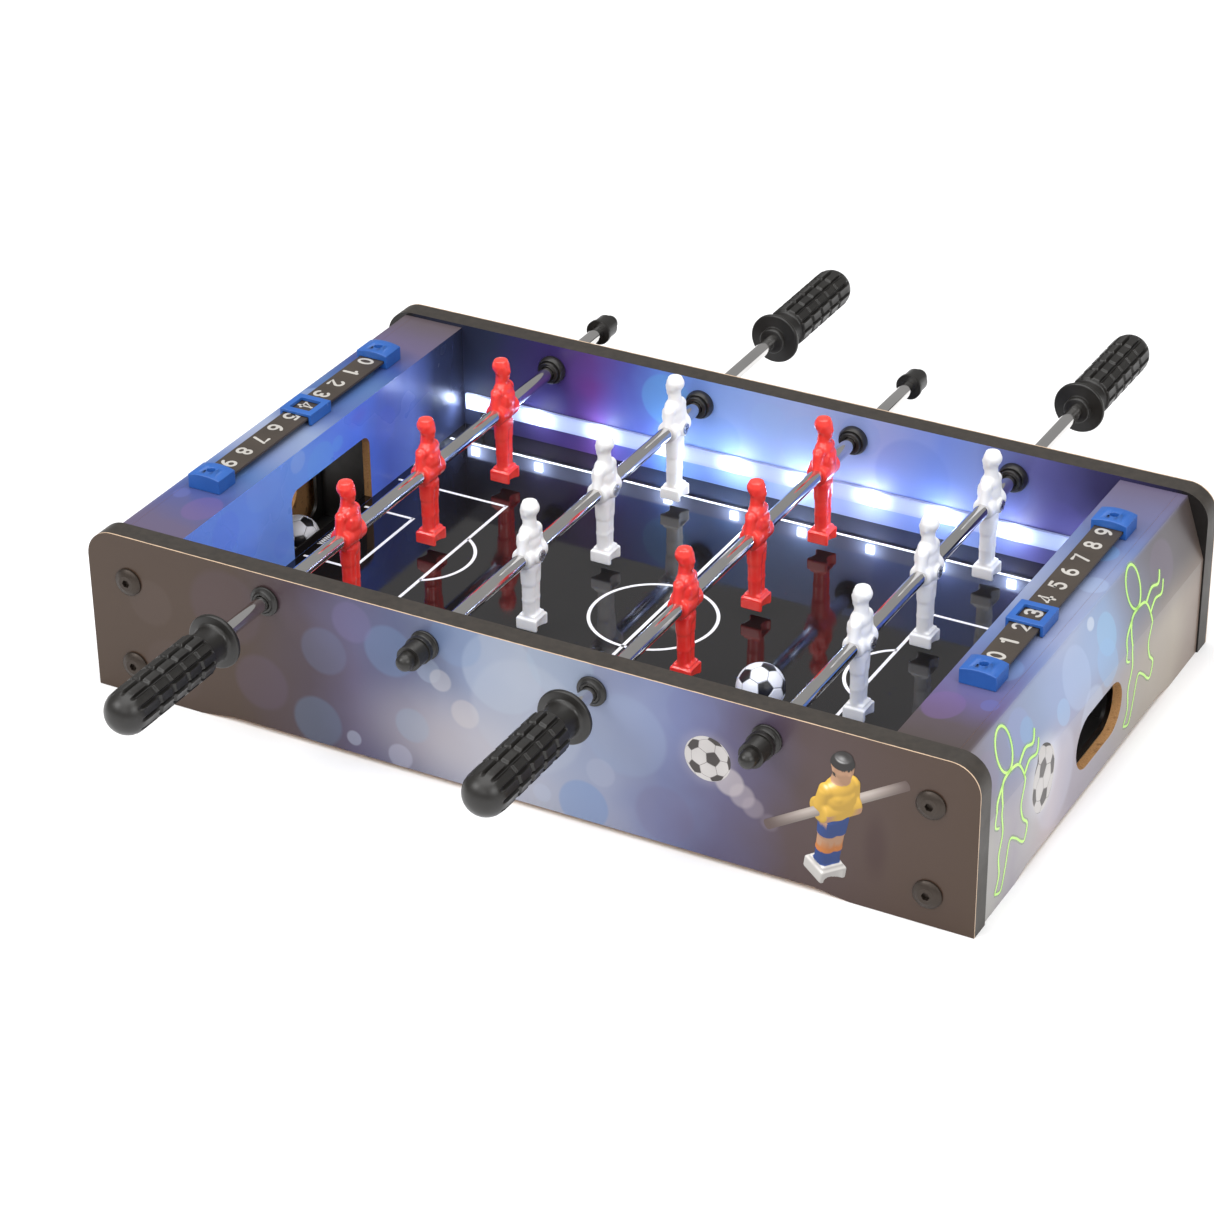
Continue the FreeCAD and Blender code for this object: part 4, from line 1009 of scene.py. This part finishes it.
def print_figure(name, u, v, size):
    """Plain table player and his rod printed flat, as if seen from above and to one side; colours ride on the points."""
    bm = bmesh.new()
    bm.from_mesh(PLAYER)
    body = len(bm.verts)
    rows = []
    for k in range(29):
        y = (-35.0 + 2.5 * k) * MM
        rows.append([bm.verts.new((2.3 * MM * math.cos(t * math.pi / 16), y, 2.3 * MM * math.sin(t * math.pi / 16)))
                     for t in range(32)])
    for a, b in zip(rows, rows[1:]):
        for t in range(32):
            bm.faces.new((a[t], a[(t + 1) % 32], b[(t + 1) % 32], b[t]))
    bm.faces.new(rows[0][::-1])
    bm.faces.new(rows[-1])
    bmesh.ops.recalc_face_normals(bm, faces=bm.faces)
    bm.verts.ensure_lookup_table()
    bm.normal_update()
    tan, hair, shirt, navy = (196, 150, 116), (34, 29, 27), (222, 176, 62), (28, 66, 136)
    gold, white, grey = (206, 124, 52), (206, 202, 198), (166, 154, 146)
    turn, lean = math.radians(-47.5), math.radians(46)
    spin = Matrix.Rotation(turn, 3, "Z")
    light = Vector((-0.35, 0.55, 0.76)).normalized()
    half = Vector((-0.18, 0.30, 0.94)).normalized()

    def view(p):
        q = spin @ p
        return Vector((q.x, q.z * math.cos(lean) + q.y * math.sin(lean), q.z * math.sin(lean) - q.y * math.cos(lean)))

    paints = []
    for i, q in enumerate(bm.verts):
        p = q.co / MM
        if i >= body:
            base = grey
        elif p.z > 27.2 or (p.z > 20.5 and p.x < 0.6 and abs(p.y) < 4.6):
            base = hair
        elif p.z > 17.0:
            base = tan
        elif abs(p.y) > 5.6 and p.z < 1.5 and p.z > -8.5 and abs(p.x) > 0.0 and not abs(p.y) > 8.9:
            base = tan
        elif p.z > -5.2:
            base = shirt
        elif p.z > -16.8:
            base = navy
        elif p.z > -24.0:
            base = tan
        elif p.z > -27.0:
            base = gold
        elif p.z > -35.4:
            base = navy
        else:
            base = white
        n = view(q.normal)
        lit = 0.52 + 0.56 * max(0.0, n.dot(light))
        shine = 0.42 * max(0.0, n.dot(half)) ** 22
        c = [min(1.0, k * lit + shine) for k in srgb(*base)[:3]]
        if i >= body:
            # the rod fades out into the dark ground at both ends
            ground, f = srgb(84, 68, 64), min(1.0, max(0.0, (abs(p.y) - 16.0) / 18.0))
            c = [k * (1 - f) + g * f for k, g in zip(c, ground)]
        paints.append(c + [1.0])
    deep = [view(q.co).z for q in bm.verts]
    lo, hi = min(deep), max(deep)
    for q in bm.verts:
        w = view(q.co)
        a, b = w.x / MM * size, w.y / MM * size
        q.co = on_front(u + a + 0.14 * b, v + b, -0.02 + 0.24 * (w.z - lo) / (hi - lo))
    me = from_bm(bm, name)
    attr = me.color_attributes.new("paint", "FLOAT_COLOR", "POINT")
    attr.data.foreach_set("color", np.array(paints, np.float32).ravel())
    for p in me.polygons:
        p.use_smooth = False
    m = Mat("print_figure", Specular_IOR_Level=0.45)
    a = m.node("ShaderNodeAttribute", attribute_name="paint")
    m.color(a.outputs["Color"])
    m.rough(m.remap(m.noise(120, 4, 0.6), 0.3, 0.7, 0.30, 0.42))
    return mesh_object(name, me, m, "table")


print_figure("front_print_figure", 181.5, 54.0, 1.30)


def sweep(pts, n=10):
    """Smooth line through a few points."""
    out = []
    P = [pts[0]] + list(pts) + [pts[-1]]
    for i in range(1, len(P) - 2):
        for k in range(n):
            t = k / n
            a, b, c, d = P[i - 1], P[i], P[i + 1], P[i + 2]
            out.append(tuple(0.5 * (2 * b[j] + (c[j] - a[j]) * t + (2 * a[j] - 5 * b[j] + 4 * c[j] - d[j]) * t * t
                                    + (3 * b[j] - a[j] - 3 * c[j] + d[j]) * t ** 3) for j in (0, 1)))
    out.append(pts[-1])
    return out


def outline(u, v, k, lean):
    """Plain running outline figure: head, trunk, arms and legs as single bright lines. k is its size in mm per unit."""
    def at(pts):
        return [(u + k * (a + lean * b), v + k * b) for a, b in pts]
    head = [(1.15 * math.cos(t * math.pi / 20), 6.3 + 1.5 * math.sin(t * math.pi / 20)) for t in range(41)]
    return [
        (at(head), 1.2),
        (sweep(at([(0.2, 4.8), (-1.2, 4.5), (-1.9, 3.0), (-1.5, 1.2), (-1.9, -0.4), (-1.6, -2.0), (-2.1, -3.2)])), 1.2),
        (sweep(at([(-2.1, -3.2), (-1.3, -3.5), (-0.9, -3.2), (-0.5, -1.8), (-0.1, -0.2), (0.9, -0.6), (1.9, -1.4)])), 1.1),
        (sweep(at([(0.2, 4.8), (1.5, 4.5), (1.9, 3.2), (1.5, 1.6), (2.0, 0.3), (2.9, -0.6), (2.6, -1.7), (1.9, -1.4)])), 1.2),
        (sweep(at([(1.5, 4.5), (2.8, 5.0), (4.0, 4.8), (4.6, 5.5)])), 1.2),
        (sweep(at([(1.8, 3.6), (3.0, 4.1), (4.2, 4.0), (4.9, 4.7)])), 1.0),
        (sweep(at([(-1.2, 4.5), (-2.6, 3.7), (-2.9, 2.4), (-2.2, 1.9)])), 1.1),
    ]


lines = outline(-133, 33, 7.4, 0.06) + outline(36, 36, 7.4, 0.10)
# ribbons of the green print lines; their faint emission is painted glow
print_lines_with_painted_glow = []
for pts, w in lines:
    print_lines_with_painted_glow.append(ribbon("g", pts, w * 1.1, on_side, 0.09))
mesh_object("side_print_lines", join(print_lines_with_painted_glow, "side_print_lines"), GREEN_PRINT_AND_PAINTED_GLOW, "table")
HALO = flat_paint("print_halo", srgb(140, 180, 118), srgb(160, 196, 130), 0.28)
mesh_object("side_print_halo", join([ribbon("h", pts, w * 2.8, on_side, 0.05) for pts, w in lines], "side_print_halo"),
            HALO, "table")

# ------------------------------------------------------------------ light of the lamps
for i in range(10):
    x = (-4.5 + i) * 0.043 - 0.0035
    p = bpy.data.lights.new("lamp_light", "POINT")
    p.energy = 0.03
    p.color = (0.78, 0.88, 1.0)
    p.shadow_soft_size = 0.003
    o = bpy.data.objects.new("lamp_light_%d" % i, p)
    o.location = (x, YC + 0.1335, 0.0478)
    o.visible_glossy = False
    coll.objects.link(o)

# ------------------------------------------------------------------ stage and studio light
bm = bmesh.new()
bmesh.ops.create_grid(bm, x_segments=1, y_segments=1, size=6.0)
fl = from_bm(bm, "floor")
floor = bpy.data.objects.new("floor", fl)
coll.objects.link(floor)
FLOOR = Mat("floor_white", Roughness=0.75, Specular_IOR_Level=0.2)
FLOOR.color(FLOOR.mix(FLOOR.remap(FLOOR.noise(3, 2), 0.3, 0.7), srgb(247, 247, 248), srgb(251, 251, 251)))
fl.materials.append(FLOOR.m)

world = bpy.data.worlds.new("studio")
scene.world = world
world.use_nodes = True
wn = world.node_tree.nodes["Background"]
wn.inputs[0].default_value = (1.0, 1.0, 1.0, 1)
wn.inputs[1].default_value = 0.36


def area(name, loc, target, size, energy, color=(1, 1, 1)):
    l = bpy.data.lights.new(name, "AREA")
    l.shape = "RECTANGLE"
    l.size, l.size_y = size
    l.energy = energy
    l.color = color
    o = bpy.data.objects.new(name, l)
    d = Vector(target) - Vector(loc)
    o.matrix_world = Matrix.Translation(loc) @ d.to_track_quat("-Z", "Y").to_matrix().to_4x4()
    coll.objects.link(o)
    return o


area("top", (0.1, -0.1, 3.0), (0, 0, 0), (3.6, 3.6), 105)
area("key", (-1.4, -1.9, 2.0), (0, 0, 0.05), (1.5, 1.2), 34)
area("fill", (2.3, -1.0, 1.5), (0, 0, 0.05), (1.5, 1.2), 26)
area("front", (0.4, -2.2, 1.4), (0, 0, 0.05), (1.4, 1.0), 9)
